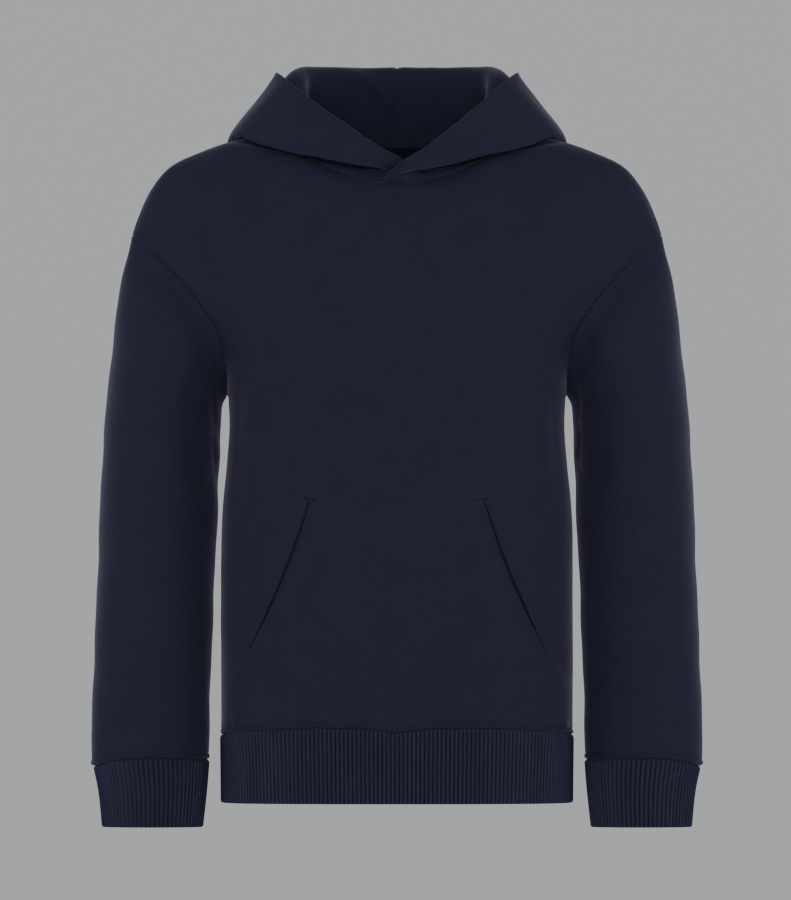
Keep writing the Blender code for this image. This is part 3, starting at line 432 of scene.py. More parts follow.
def torso_points(side, heights, shares):
    """Points on the torso at heights and at shares of the way from the centre to the side."""
    heights, shares = np.broadcast_arrays(heights, shares)
    row = (heights - SECTION_HEIGHTS[0]) / (SECTION_HEIGHTS[1] - SECTION_HEIGHTS[0])
    column = shares * (len(SECTION_SHARES) - 1)
    low_row = np.clip(row.astype(int), 0, len(SECTION_HEIGHTS) - 2)
    low_column = np.clip(column.astype(int), 0, len(SECTION_SHARES) - 2)
    a, b = (row - low_row)[..., None], (column - low_column)[..., None]
    table = SECTIONS[side]
    flat = ((table[low_row, low_column] * (1 - a) + table[low_row + 1, low_column] * a) * (1 - b)
            + (table[low_row, low_column + 1] * (1 - a)
               + table[low_row + 1, low_column + 1] * a) * b)
    return np.concatenate([flat, heights[..., None]], axis=-1)


def graded(parts):
    """Rising values from (last value, steps) pairs, from 0."""
    values = [0.0]
    for end, steps in parts:
        values += list(np.linspace(values[-1], end, steps + 1)[1:])
    return np.array(values)


MIDDLE = 0.5  # share of the slit's column away from the slit
NEAR = np.array([0.0, 0.35, 0.8, 1.5, 2.6])  # columns beside the slit's edge
NEAR_SHARE = 0.02
INNER_SHARES = graded(((1.0, 36),))
OUTER_SHARES = graded(((0.95, 34), (1.0, 7)))
ROW_SHARES = graded(((0.028, 14), (1.0, 104)))
CHEST_SHARES = graded(((0.965, 84), (1.0, 9)))
SPRING_ROWS, ARC_ROWS = 24, 200  # points of a chest column before they are spaced evenly
SHOULDER_POINTS = 281
CORNER_SPREAD = 0.07  # share over which the neck corner is rounded
CORNER_POINTS = np.linspace(-0.5, 1.5, 801)
CORNER_REACH = 90  # of those points on each side
CORNER_FADE = 22.0  # from this far below the top edge
HALF_GIRTH = 150.0  # about, of half a panel


def column_shares(centre, half_width):
    """Shares of a row's columns from the centre to the side, closest beside the slit's line."""
    near = (half_width + NEAR) / HALF_GIRTH
    inner = INNER_SHARES * (centre - near[-1] - NEAR_SHARE / 4)
    outer = 1 - (1 - OUTER_SHARES) * (1 - centre - near[-1] - NEAR_SHARE / 4)
    return np.concatenate([inner, centre - near[::-1], [centre], centre + near, outer])


SLIT_COLUMN = len(INNER_SHARES) + len(NEAR)  # index of the slit's line


def slit_share(height):
    """Share of the way to the side at which the slit lies at a height, and its half width."""
    (top_x, top_z), (bottom_x, bottom_z) = SLIT_TOP, SLIT_BOTTOM
    along = np.clip((top_z - height) / (top_z - bottom_z), 0.0, 1.0)
    bow = 4 * along * (1 - along)
    x = top_x + (bottom_x - top_x) * along - SLIT_BOW * bow
    line = torso_points(-1, np.full(len(SECTION_SHARES), height), SECTION_SHARES)
    share = np.interp(x, line[:, 0], SECTION_SHARES)
    share = share + (MIDDLE - share) * eased((height - SLIT_BACK[0]) / SLIT_BACK[1])
    narrow, wide = SLIT_HALF_WIDTH
    return share, narrow + (wide - narrow) * bow


def neck_line(side):
    """Half the neckline, from the centre to the shoulder point."""
    across = np.sin(QUARTER_TURN)
    drop, depth = (np.maximum(1 - across ** inner, 0) ** outer for inner, outer in NECK_CURVES)
    return np.stack([NECK_HALF_WIDTH * across, side * NECK_DEPTH[side] * depth,
                     -NECK_DROP[side] * drop], axis=1)


def top_edge(side, shares):
    """Half the panel's top: the neckline, then the shoulder seam."""
    shoulder = catmull(SHOULDER_SEAM, np.linspace(0.0, len(SHOULDER_SEAM) - 1, SHOULDER_POINTS))
    neck = spaced(neck_line(side), np.clip(shares * 2, 0, 1))
    far = spaced(shoulder, np.clip(shares * 2 - 1, 0, 1))
    return np.where((shares <= 0.5)[:, None], neck, far)


def hem_seam(side, shares):
    return smooth_rows(HEM_SEAM[side], shares)[:, 0]


def armhole(places):
    """The armhole's curve; place 0 is the shoulder, 2 the front and 4 the underarm."""
    return catmull(ARMHOLE, np.asarray(places) % len(ARMHOLE), closed=True)


def softened(line_of, shares):
    """A half line with its corners rounded; it keeps its two ends."""
    dense = CORNER_POINTS
    line = line_of(1 - np.abs(1 - np.abs(dense)))
    line[:, 0] *= np.where(dense < 0, -1, 1)
    past = dense > 1
    line[past] = 2 * line_of(np.array([1.0])) - line[past]
    reach = np.arange(-CORNER_REACH, CORNER_REACH + 1) * (dense[1] - dense[0])
    weights = bell(reach, CORNER_SPREAD)
    weights /= weights.sum()
    smooth = np.stack([np.convolve(column, weights, "same") for column in line.T], axis=1)
    return read_between(smooth, dense, shares)


def panel_inward(base):
    """Directions in which a panel's wall is thick. Along its edges they lie in the seams."""
    inward = -outward(base)
    last = base.shape[1] - 1
    corner = last // 2 - SLIT_COLUMN
    for column in (0, last):
        inward[:TORSO_ROWS, column] = (-np.sign(base[0, column, 0]), 0.0, 0.0)
        inward[CHEST, column] = within_seam(inward[CHEST, column], base[CHEST, column], -1)
    neck = slice(corner, last - corner + 1)
    inward[-1, neck] = neck_inward(base[-1, neck])
    for shoulder in (slice(1, corner), slice(last - corner + 1, last)):
        inward[-1, shoulder] = unit(inward[-1, shoulder], UPRIGHT)
    for column in (0, last):
        for row in (TORSO_ROWS, -1):
            inward[row, column] = unit(inward[row, column], UPRIGHT)
    inward[0] = unit(inward[0], LEVEL)
    return inward


def panel_relief(side, base, above_hem, below_top, from_side):
    """Height of a panel's outer face over its form: creases, seams and the slits' lips."""
    x, z = base[..., 0], base[..., 2]
    relief = crease_height(x, z, FRONT_CREASES if side < 0 else BACK_CREASES)
    relief += ripple(x, z, BODY_WAVES)
    height, span, least = HEM_CALM
    relief *= eased((z - height) / span) * (1 - least) + least
    relief *= eased(from_side / PANEL_FADES[0]) * eased(below_top / PANEL_FADES[1])
    relief += seam_profile(above_hem, ROLLED_RIB_SEAM)
    relief += ripple(x, 0.0, PUCKERS) * bell(above_hem - PUCKER_BAND[0], PUCKER_BAND[1])
    relief[:TORSO_ROWS] += seam_profile(from_side[:TORSO_ROWS], SIDE_SEAM)
    relief[CHEST] += seam_profile(from_side[CHEST], PLAIN_SEAM)
    relief += seam_profile(below_top, PLAIN_SEAM)
    if side < 0:
        relief += slit_relief(base)
    return relief


def panel_sink(side, from_side):
    """How far a panel's chest is shifted along Y beside the armholes."""
    places = 4 * (1 - CHEST_SHARES) if side < 0 else 4 + 4 * CHEST_SHARES
    far, less, least, width, past = SINK_EDGE
    reach = np.maximum(far - less * np.minimum(places, len(ARMHOLE) - places), least)[:, None]
    beside = eased((reach + past - from_side[CHEST]) / np.minimum(width, reach))
    return armhole_sink(places)[:, None] * beside


def chest_columns(side, shares, top):
    """Columns from the underarm's height up to the given top points."""
    heights = np.linspace(UNDERARM, CHEST_SPRING[side], SPRING_ROWS)
    upright = torso_points(side, heights[:, None], shares[None, :])
    turn = np.linspace(0.0, math.pi / 2, ARC_ROWS)[:, None]
    columns = []
    for column, share in enumerate(shares):
        blend = min(1.0, share / SHOULDER_ROUND_SHARE) ** 2
        power = CHEST_ROUND + (SHOULDER_ROUND - CHEST_ROUND) * blend
        inward = np.cos(turn) ** (2 / power)
        upward = np.sin(turn) ** (2 / power)
        start, end = upright[-1, column], top[column]
        arc = np.hstack([
            start[0] + (end[0] - start[0]) * upward ** DRIFT_POWER,
            end[1] + (start[1] - end[1]) * inward,
            start[2] + (end[2] - start[2]) * upward,
        ])
        columns.append(spaced(np.vstack([upright[:-1, column], arc]), CHEST_SHARES))
    return np.stack(columns, axis=1)


def panel_half(side, slits):
    """Half a panel's points: rows from the hem seam up, columns from the centre out."""
    rows = []
    plain = column_shares(MIDDLE, SLIT_HALF_WIDTH[0])
    middle_seam = hem_seam(side, [MIDDLE])[0]
    for climb in ROW_SHARES:
        height = middle_seam + (UNDERARM - middle_seam) * climb
        shares = column_shares(*slit_share(height)) if slits else plain
        seam = hem_seam(side, shares)
        rows.append(torso_points(side, seam + (UNDERARM - seam) * climb, shares))
    torso = np.array(rows)

    chest = chest_columns(side, plain, top_edge(side, plain))
    soft = chest_columns(side, plain, softened(lambda shares: top_edge(side, shares), plain))
    below = lengths(chest, 0)
    below = eased((below[-1:] - below) / CORNER_FADE)[..., None]
    chest += below * (soft - chest)

    edge = armhole(4 * (1 - CHEST_SHARES) if side < 0 else 4 + 4 * CHEST_SHARES)
    for row in range(len(CHEST_SHARES)):
        met = read_between(chest[row], plain, EDGE_SEARCH)
        off = np.linalg.norm(met - edge[row], axis=1)
        chest[row] = read_between(chest[row], plain, plain * EDGE_SEARCH[np.argmin(off)])
        chest[row] += plain[:, None] ** ARMHOLE_PULL * (edge[row] - chest[row, -1])
    return np.vstack([torso, chest[1:]])


def whole_panel(side, slits=False):
    """The whole panel's points, columns to the right as seen from outside."""
    half = panel_half(side, slits)
    points = np.concatenate([mirrored(half)[:, :-1], half], axis=1)
    return points if side < 0 else points[:, ::-1]


def own_side(points, vector):
    """A vector for each point, mirrored for those on the wearer's right."""
    return vector * np.where(points[:, :1] < 0, MIRROR, (1, 1, 1))


def outward(points, wrap=False):
    """Unit normals of a grid whose columns run to the right and rows up, seen from outside."""
    up = np.gradient(points, axis=0)
    if wrap:
        right = (np.roll(points, -1, axis=1) - np.roll(points, 1, axis=1)) / 2
    else:
        right = np.gradient(points, axis=1)
    return unit(np.cross(right, up))


def within_seam(inward, points, sign):
    """Inward directions that keep to their own side of the armhole: body (-1) or sleeve (+1)."""
    axis = unit(own_side(points, ARM_AXIS))
    across = np.sum(inward * axis, axis=1, keepdims=True)
    return unit(inward - np.where(across * sign < 0, across, 0.0) * axis)


def armhole_sink(places):
    """How far the armhole's seam is shifted along Y, into the body, at places round it."""
    depth, middle, spread = ARMHOLE_SINK
    front = bell(places - middle, spread)
    back = bell(len(ARMHOLE) - places - middle, spread)
    return depth * (front - SINK_BEHIND * back)


def into_armhole(points):
    """Directions from the armhole's edge toward its middle, in the plane of the seam."""
    axis = unit(own_side(points, ARM_AXIS))
    inward = own_side(points, ARMHOLE.mean(axis=0)) - points
    return unit(inward - np.sum(inward * axis, axis=1, keepdims=True) * axis)


def neck_inward(points):
    """Level directions from the neckline toward the middle of the neck."""
    depth = np.where(points[:, 1] < 0, NECK_DEPTH[-1], NECK_DEPTH[1])
    flat = np.stack([points[:, 0] / NECK_HALF_WIDTH ** 2, points[:, 1] / depth ** 2,
                     np.zeros(len(points))], axis=1)
    return -unit(flat)


TORSO_ROWS = len(ROW_SHARES) - 1
CHEST = slice(TORSO_ROWS, None)


def panel_walls(side):
    """Outer and inner points of a body panel with its creases and seams, and its chart."""
    base = whole_panel(side, slits=side < 0)
    last = base.shape[1] - 1
    centre = last // 2
    corner = centre - SLIT_COLUMN
    above_hem, along = lengths(base, 0), lengths(base, 1)
    from_side = np.minimum(along, along[:, -1:] - along)
    relief = panel_relief(side, base, above_hem, above_hem[-1:] - above_hem, from_side)
    pulled = drawn_in(base[..., 0], base[..., 2], side)
    away = outward(base)
    near = bell(from_side, SEAM_TURN)
    for column in range(last + 1):
        share = near[CHEST, column, None]
        edge = base[CHEST, 0 if column < centre else last]
        away[CHEST, column] = unit(away[CHEST, column] * (1 - share) - into_armhole(edge) * share)
    outer = base + away * (relief - pulled)[..., None]
    inner = base + panel_inward(base) * (FLEECE + pulled[..., None])

    sink = panel_sink(side, from_side)
    gap = SEAM_GAP / 2
    for grid in (outer, inner):
        grid[CHEST, :, 1] += sink
        for column in (0, last):
            grid[CHEST, column] -= ARMHOLE_GAP / 2 * own_side(grid[CHEST, column], ARM_AXIS)
            grid[:TORSO_ROWS + 1, column, 1] += side * gap
        grid[-1, :corner + 1, 1] += side * gap
        grid[-1, last - corner:, 1] += side * gap
        grid[0, :, 2] += gap
        grid[-1, corner:last - corner + 1, 2] -= NECK_GAP / 2
    return outer, inner, (along - along[:, [centre]], above_hem)


SLIT_LIP = ((0.75, 1.2, 1.1), (-0.35, 4.2, 2.2))  # on the centre side
SLIT_EDGE = ((-0.5, 0.0, 1.6),)  # on the outer side
SLIT_REACH = 14.0
SLIT_ENDS = (3.0, 8.0)  # past its ends, and over how far, the lip fades


def slit_relief(base):
    """Height of the cloth beside the two pocket slits: a rolled lip on the centre side."""
    centre = base.shape[1] // 2
    total = np.zeros(base.shape[:2])
    past, span = SLIT_ENDS
    fade = eased((SLIT_TOP[1] + past - base[..., 2]) / span)
    fade *= eased((base[..., 2] - SLIT_BOTTOM[1] + past) / span)
    for sign in RIGHT_AND_LEFT:
        column = centre + sign * SLIT_COLUMN
        from_slit = (base[..., 0] - base[:, [column], 0]) * sign
        lip = seam_profile(-from_slit, SLIT_LIP)
        edge = seam_profile(from_slit, SLIT_EDGE)
        total += np.where(from_slit < 0, lip, edge) * fade * (np.abs(from_slit) < SLIT_REACH)
    return total


def slit_cells(base):
    """Which cells of the front are cloth: those of the two slits aren't."""
    centre = base.shape[1] // 2
    kept = np.ones((base.shape[0] - 1, base.shape[1] - 1), bool)
    heights = base[:, centre + SLIT_COLUMN, 2]
    middle = (heights[:-1] + heights[1:]) / 2
    open_rows = (middle < SLIT_TOP[1]) & (middle > SLIT_BOTTOM[1])
    for sign in RIGHT_AND_LEFT:
        column = centre + sign * SLIT_COLUMN
        kept[open_rows, column - 1:column + 1] = False
    return kept


EDGE_ROUNDING = (0, 35, 70)  # degrees round a free edge


# ---- meshes ----
def rounded_end(outer, inner, last):
    """Two more rows on each side of a wall's free edge, so that the edge is round."""
    if not last:
        outer, inner = outer[::-1], inner[::-1]
    onward = unit(outer[-1] - outer[-2])
    middle, half = (outer[-1] + inner[-1]) / 2, (outer[-1] - inner[-1]) / 2
    radius = np.linalg.norm(half, axis=-1, keepdims=True)
    walls = []
    for sign, grid in ((1, outer), (-1, inner)):
        rows = [middle + sign * half * math.cos(turn) + onward * radius * (math.sin(turn) - 1)
                for turn in np.radians(EDGE_ROUNDING)]
        walls.append(np.vstack([grid[:-1], rows]))
    return walls if last else [grid[::-1] for grid in walls]


def wall(name, outer, inner, chart, wrap=False, kept=None):
    """A closed sheet with thickness between two grids; chart is the cloth's own u and v in mm."""
    rows, columns = outer.shape[:2]
    cells = columns if wrap else columns - 1
    if kept is None:
        kept = np.ones((rows - 1, cells), bool)
    index = np.arange(rows * columns).reshape(rows, columns)
    left, right = index[:, :cells], np.roll(index, -1, axis=1)[:, :cells]
    places = np.stack(chart, axis=-1)
    place_left, place_right = places[:, :cells], places[:, 1:cells + 1]
    corners = np.stack([left[:-1], right[:-1], right[1:], left[1:]], axis=-1)
    spots = np.stack([place_left[:-1], place_right[:-1], place_right[1:], place_left[1:]], axis=2)
    shift = rows * columns
    faces = [corners[kept], corners[kept][:, ::-1] + shift]
    marks = [spots[kept], spots[kept][:, ::-1]]
    padded = np.pad(kept, ((1, 1), (0, 0)))
    wide = kept[:, np.arange(-1, cells + 1) % cells] if wrap else np.pad(kept, ((0, 0), (1, 1)))
    for edge, beside in enumerate((padded[:-2], wide[:, 2:], padded[2:], wide[:, :-2])):
        border = kept & ~beside
        start, end = corners[border][:, edge], corners[border][:, (edge + 1) % 4]
        faces.append(np.stack([end, start, start + shift, end + shift], axis=1))
        first, second = spots[border][:, edge], spots[border][:, (edge + 1) % 4]
        marks.append(np.stack([second, first, first, second], axis=1))
    vertices = np.vstack([outer.reshape(-1, 3), inner.reshape(-1, 3)])
    used, faces = np.unique(np.vstack(faces), return_inverse=True)
    return new_mesh(name, vertices[used], faces.reshape(-1, 4).tolist(), np.vstack(marks))


def new_object(name, data):
    """An object for some data, in the scene."""
    made = bpy.data.objects.new(name, data)
    bpy.context.scene.collection.objects.link(made)
    return made


def new_mesh(name, vertices, faces, marks=None):
    """A smooth mesh object from points in millimetres, with the cloth's own coordinates in mm."""
    mesh = bpy.data.meshes.new(name)
    mesh.from_pydata((np.asarray(vertices) * MM).tolist(), [], faces)
    mesh.shade_smooth()
    if marks is not None:
        layer = mesh.uv_layers.new(name="cloth")
        layer.data.foreach_set("uv", np.asarray(marks, np.float32).reshape(-1))
        mesh.set_sharp_from_angle(angle=math.radians(SHARP_DEGREES))
        mesh.validate()
    return new_object(name, mesh)


def mirrored(grid):
    """The same grid on the wearer's right, columns still to the right from outside."""
    return grid[:, ::-1] * MIRROR


def mirrored_walls(outer, inner, chart):
    return mirrored(outer), mirrored(inner), tuple(each[:, ::-1] for each in chart)


# ---- sleeves and cuffs ----
# degrees round a sleeve, closer at the underarm seam at 180
TURN = np.radians(np.concatenate([
    np.linspace(0.0, 174.0, 56), [176.0, 177.6, 178.7, 179.5, 180.0, 180.5, 181.3, 182.4, 184.0],
    np.linspace(186.0, 360.0, 56)[:-1]]))
SLEEVE_ROWS = graded(((0.012, 6), (0.982, 150), (1.0, 14)))
SLEEVE_GIRTH = 252.0
CAP_FOLD = (3.0, 24.0, 12.0)  # the cloth stands up beside the armhole: height, place, width
MM_PER_DEGREE = 0.75  # on the chart of a sleeve's creases
UNEVEN_SHIFT = (7.0, -5.0)  # how far the other sleeve's creases are shifted, start and end
UNEVEN_DEPTH = 0.25  # share by which they are weaker or stronger
SLEEVE_FADES = (14.0, 9.0)  # creases fade this near the armhole and this near the cuff
CUFF_SETTLE = (0.88, 0.12)  # share of the sleeve where rings start to follow the cuff seam


def cuff_seam(turn):
    """Height of the cuff seam round the sleeve: it arches up at the front and the back."""
    across = np.cos(turn)
    mean = (CUFF_SEAM_DROP[1] + CUFF_SEAM_DROP[-1]) / 2
    lean = (CUFF_SEAM_DROP[1] - CUFF_SEAM_DROP[-1]) / 2
    return CUFF_SEAM_FRONT - across ** 2 * (mean + lean * across)


def sleeve_rings():
    """Rings of the wearer's left sleeve from the armhole to the cuff seam."""
    table = np.column_stack([np.linspace(0.0, 1.0, len(SLEEVE)), SLEEVE])
    rings = []
    for outer_x, outer_z, inner_x, inner_z, middle_y, depth in smooth_rows(table, SLEEVE_ROWS):
        rings.append(np.stack([
            (outer_x + inner_x) / 2 + (outer_x - inner_x) / 2 * np.cos(TURN),
            middle_y - depth * np.sin(TURN),
            (outer_z + inner_z) / 2 + (outer_z - inner_z) / 2 * np.cos(TURN),
        ], axis=1))
    rings = np.array(rings)
    fade = np.clip(1 - SLEEVE_ROWS / ARMHOLE_FADE, 0.0, 1.0)[:, None, None] ** 2
    rings += fade * (armhole(TURN * len(ARMHOLE) / FULL_TURN) - rings[0])
    settle = eased((SLEEVE_ROWS - CUFF_SETTLE[0]) / CUFF_SETTLE[1])[:, None]
    rings[..., 2] += settle * (cuff_seam(TURN) - rings[-1, :, 2])
    return rings


def sleeve_relief(uneven, base, turn, above_cuff, below_top):
    """Height of a sleeve's outer face over its form: creases, the fold at the cap and seams."""
    degrees = np.degrees(turn)
    creases = SLEEVE_CREASES.copy()
    creases[:, [0, 2]] = creases[:, [0, 2]] * MM_PER_DEGREE
    creases[:, [1, 3]] += uneven * np.array(UNEVEN_SHIFT)
    creases[:, 6] *= 1 - UNEVEN_DEPTH * uneven * np.cos(np.arange(len(creases)))
    chart_x = np.broadcast_to(degrees * MM_PER_DEGREE, base.shape[:2])
    relief = crease_height(chart_x, base[..., 2], creases)
    relief += ripple(base[..., 0], base[..., 2], SLEEVE_WAVES)
    height, place, width = CAP_FOLD
    relief += height * bell(below_top - place, width) * np.sin(turn) ** 2
    relief *= eased(below_top / SLEEVE_FADES[0]) * eased(above_cuff / SLEEVE_FADES[1])
    relief += seam_profile(above_cuff, ROLLED_CUFF_SEAM) + seam_profile(below_top, PLAIN_SEAM)
    from_seam = np.abs(degrees - 180.0) * MM_PER_DEGREE
    return relief + seam_profile(np.broadcast_to(from_seam, relief.shape), SIDE_SEAM)


def sleeve_walls(uneven):
    """Outer and inner rings of the left sleeve, cuff seam first, columns to the right."""
    base = sleeve_rings()[::-1, ::-1]
    turn = TURN[::-1]
    normal = outward(base, wrap=True)
    inward = -normal
    inward[-1] = within_seam(inward[-1], base[-1], 1)
    inward[0] = unit(inward[0], LEVEL)
    above_cuff = lengths(base, 0)
    below_top = above_cuff[-1:] - above_cuff
    relief = sleeve_relief(uneven, base, turn, above_cuff, below_top)
    near = bell(below_top, SEAM_TURN)[..., None]
    away = unit(normal * (1 - near) - into_armhole(base[-1]) * near)
    outer = base + away * relief[..., None]
    inner = base + FLEECE * inward
    sink = armhole_sink(turn * len(ARMHOLE) / FULL_TURN) * bell(below_top, SINK_ON_SLEEVE)
    for grid in (outer, inner):
        grid[..., 1] += sink
        grid[-1] += ARMHOLE_GAP / 2 * ARM_AXIS
        grid[0, :, 2] += SEAM_GAP / 2
    round_it = np.append(turn, turn[0] - FULL_TURN) / FULL_TURN * SLEEVE_GIRTH
    v = np.concatenate([above_cuff, above_cuff[:, :1]], axis=1)
    return outer, inner, (np.broadcast_to(round_it, v.shape), v)


RIB_ROWS = graded(((0.012, 2), (0.06, 4), (1.0, 15)))[::-1]
RIB_SHAPE = (0.7, 0.55)  # power of a rib's crest, and share of its height below the form
RIB_TUCK = (-1.1, 0.9)  # the band dips into its seam: depth, spread
RIB_START = (0.35, 2.5)  # share of the ribs' height at the seam, and how soon it's full
FAN_FADE = 1.6  # the ribs' lean has gone at 1 / this of the band's height
FAN_PLACE = (6, 15)  # where they lean, near the sides: power, and a factor for its small peak


def ribbed(ring_of, top_of, bottom, ribs, fan):
    """A rib band: outer rings with round raised ribs, plain inner rings, bottom ring first."""
    fine = ribs * POINTS_PER_RIB
    top = top_of(fine) - SEAM_GAP / 2
    crest = 0.5 + 0.5 * np.cos(FULL_TURN * np.arange(fine) / POINTS_PER_RIB)
    relief = RIB_RELIEF * (crest ** RIB_SHAPE[0] - RIB_SHAPE[1])
    outer, inner = [], []
    for share in RIB_ROWS:
        heights = top + (bottom - top) * share
        base = ring_of(heights, fine, fan * (1 - eased(share * FAN_FADE)))
        right = unit(np.roll(base, -1, axis=0) - np.roll(base, 1, axis=0), LEVEL)
        normal = np.stack([right[:, 1], -right[:, 0], np.zeros(fine)], axis=1)
        below = np.abs(heights - top)
        tucked = RIB_TUCK[0] * bell(below, RIB_TUCK[1])
        raised = relief * (RIB_START[0] + (1 - RIB_START[0]) * eased(below / RIB_START[1]))
        outer.append(base + normal * (raised + tucked)[:, None])
        inner.append(base - normal * RIB_CLOTH)
    outer, inner = rounded_end(np.array(outer), np.array(inner), last=False)
    u = np.broadcast_to(np.arange(fine + 1) / POINTS_PER_RIB, (len(outer), fine + 1))
    down = lengths(outer, 0)
    return outer, inner, (u, np.concatenate([down, down[:, :1]], axis=1))


def body_ring(heights, count, fan):
    """A ring of the torso from the wearer's right by the front, its ribs leaning out by fan."""
    shares = np.arange(count // 4) / (count // 4)
    power, peak = FAN_PLACE
    turns = []
    for levels, (side, sign) in zip(np.split(heights, 4), ((-1, -1), (-1, 1), (1, 1), (1, -1))):
        places = shares if side * sign < 0 else 1 - shares
        lean = fan / HALF_GIRTH * places ** power * (1 - places) * peak
        points = torso_points(side, levels, np.clip(places + lean, 0, 1)) * (sign, 1, 1)
        points[:, 1] -= side * drawn_in(points[:, 0], levels, side)
        turns.append(points)
    return np.vstack(turns)


def hem_top(count):
    """Heights of the hem seam all round, from the wearer's right by the front."""
    shares = np.arange(count // 4) / (count // 4)
    return np.concatenate([hem_seam(-1, 1 - shares), hem_seam(-1, shares),
                           hem_seam(1, 1 - shares), hem_seam(1, shares)])


def cuff_ring(heights, count, _fan):
    """A ring of the wearer's left cuff, from the outer side by the back. Its ribs stay upright."""
    turn = np.arange(count) * FULL_TURN / count
    half_width, half_depth, middle_x, middle_y = smooth_rows(CUFF[::-1], heights).T
    return np.stack([middle_x + half_width * np.cos(turn), middle_y + half_depth * np.sin(turn),
                     heights], axis=1)


def cuff_top(count):
    return cuff_seam(np.arange(count) * FULL_TURN / count)


# ---- hood ----
STATION_STEPS = graded(((2.0, 34), (6.0, 52), (11.93, 62), (12.0, 6)))
FRONT_STATIONS = 9  # columns before station 0, counting it
STAND_STEPS = graded(((0.08, 3), (1.0, 22)))
FALL_STEPS = graded(((1.0, 44),))[1:]
RISE_STEPS = graded(((1.0, 36),))[1:]
FOOT_ROW = len(STAND_STEPS) + len(FALL_STEPS) - 1
# station where the lower fold has stopped being sharp, and over how many it does
SHARP_END = (6.5, 1.5)
LAYER_FADE = 0.05  # share of the rows over which creases of one layer fade
QUIET_STATIONS = 2.5  # the creases start over these stations
HOOD_FADES = (6.0, 5.0, 5.0)  # creases fade this near the neck, the rim and the back seam
GROOVE_START = (0.3, 1.5)  # station where the groove starts, height over which it does
PRESSED_REACH = 12.0  # how far from the fold the cloth is pressed
SMOOTHED_ROWS = 16  # rows of the inner face smoothed on each side of the fold
SMOOTHING_PASSES = 60
BACK_SEAM_DIP = (0.75, 0.9)  # depth and spread of the cloth's dip into its seams
NECK_SEAM_DIP = (0.6, 0.7)
INNER_DIP = 0.8  # share of the dip on the inner face


def neck_seam(stations):
    """Points of the neck seam at the hood's stations, wearer's left, front centre to back."""
    front = spaced(neck_line(-1), np.clip(np.abs(stations) / SHOULDER_STATION, 0, 1))
    back = spaced(neck_line(1), np.clip((BACK_STATION - stations) / SHOULDER_STATION, 0, 1))
    line = np.where((stations <= SHOULDER_STATION)[:, None], front, back)
    line[:, 0] *= np.where(stations < 0, -1, 1)
    return line


def fold_sharpness(stations):
    """How sharp the flap's lower fold is: 1 along the front, and 0 at its end and behind."""
    end, span = SHARP_END
    return eased(stations) * eased((end - stations) / span)


def hood_lines(stations, surface, under):
    """Neck seam, crest, foot and rim along half the hood, with their stations' own values.

    Those are how open it is, whether its flap rests on the body, and the radii of its two rolls.
    """
    seam = neck_seam(stations)
    rows = smooth_rows(HOOD, stations)
    crest, foot, rim = rows[:, 0:3].copy(), rows[:, 3:6].copy(), rows[:, 6:9].copy()
    foot += FOOT_LIFT * fold_sharpness(stations)[:, None] * unit(foot - seam, LEVEL)
    side = -1.0 if under else 1.0
    seam_shift, shift, flat_reach = UNDER_FLAP if under else OVER_FLAP
    near = np.clip(1 - stations / FLAP_STATIONS, 0, 1)[:, None]
    seam = seam + near * (0.0, seam_shift, 0.0)
    for line in (crest, foot, rim):
        crossing = np.clip(1 - np.abs(line[:, 0]) / CROSSING_REACH, 0, 1) * (line[:, 1] < 0)
        line[:, 0] += side * CROSSING_SHIFT * crossing
        line += near * (0.0, shift, 0.0)
    fold = eased((stations - HOOD_FRONT_END[False]) / flat_reach)[:, None]
    flat_crest = seam + (rim - seam) * CREST_ON_FLAP
    flat_foot = seam + (rim - seam) * FOOT_ON_FLAP
    crest = flat_crest + fold * (crest - flat_crest)
    foot = flat_foot + fold * (foot - flat_foot)
    resting = stations > FIRST_RESTING
    foot[resting] = surface.lift(foot[resting], BODY_CLEARANCE)
    return seam, crest, foot, rim, fold, resting, rows[:, 9:11]


def roll_pull(direction, span, radius):
    """Pull along a direction that gives a curve of this span a roll of this radius."""
    off = np.linalg.norm(span - np.dot(span, direction) * direction)
    return direction * math.sqrt(6 * radius * max(off, radius))


class BodySurface:
    """The body's outer points and normals, and how far a line lies off them."""

    def __init__(self, panels):
        self.points = np.vstack([grid[::2, ::2].reshape(-1, 3) for grid in panels])
        self.normals = np.vstack([outward(grid)[::2, ::2].reshape(-1, 3) for grid in panels])
        self.tree = KDTree(len(self.points))
        for number, point in enumerate(self.points):
            self.tree.insert(point, number)
        self.tree.balance()

    def lift(self, line, least):
        """A line's points, moved out where they come too near the body."""
        for _ in range(LIFT_PASSES):
            nearest = [self.tree.find(point)[1] for point in line]
            normals = self.normals[nearest]
            height = np.sum((line - self.points[nearest]) * normals, axis=1)
            line = line + np.clip(least - height, 0, None)[:, None] * normals
        return line


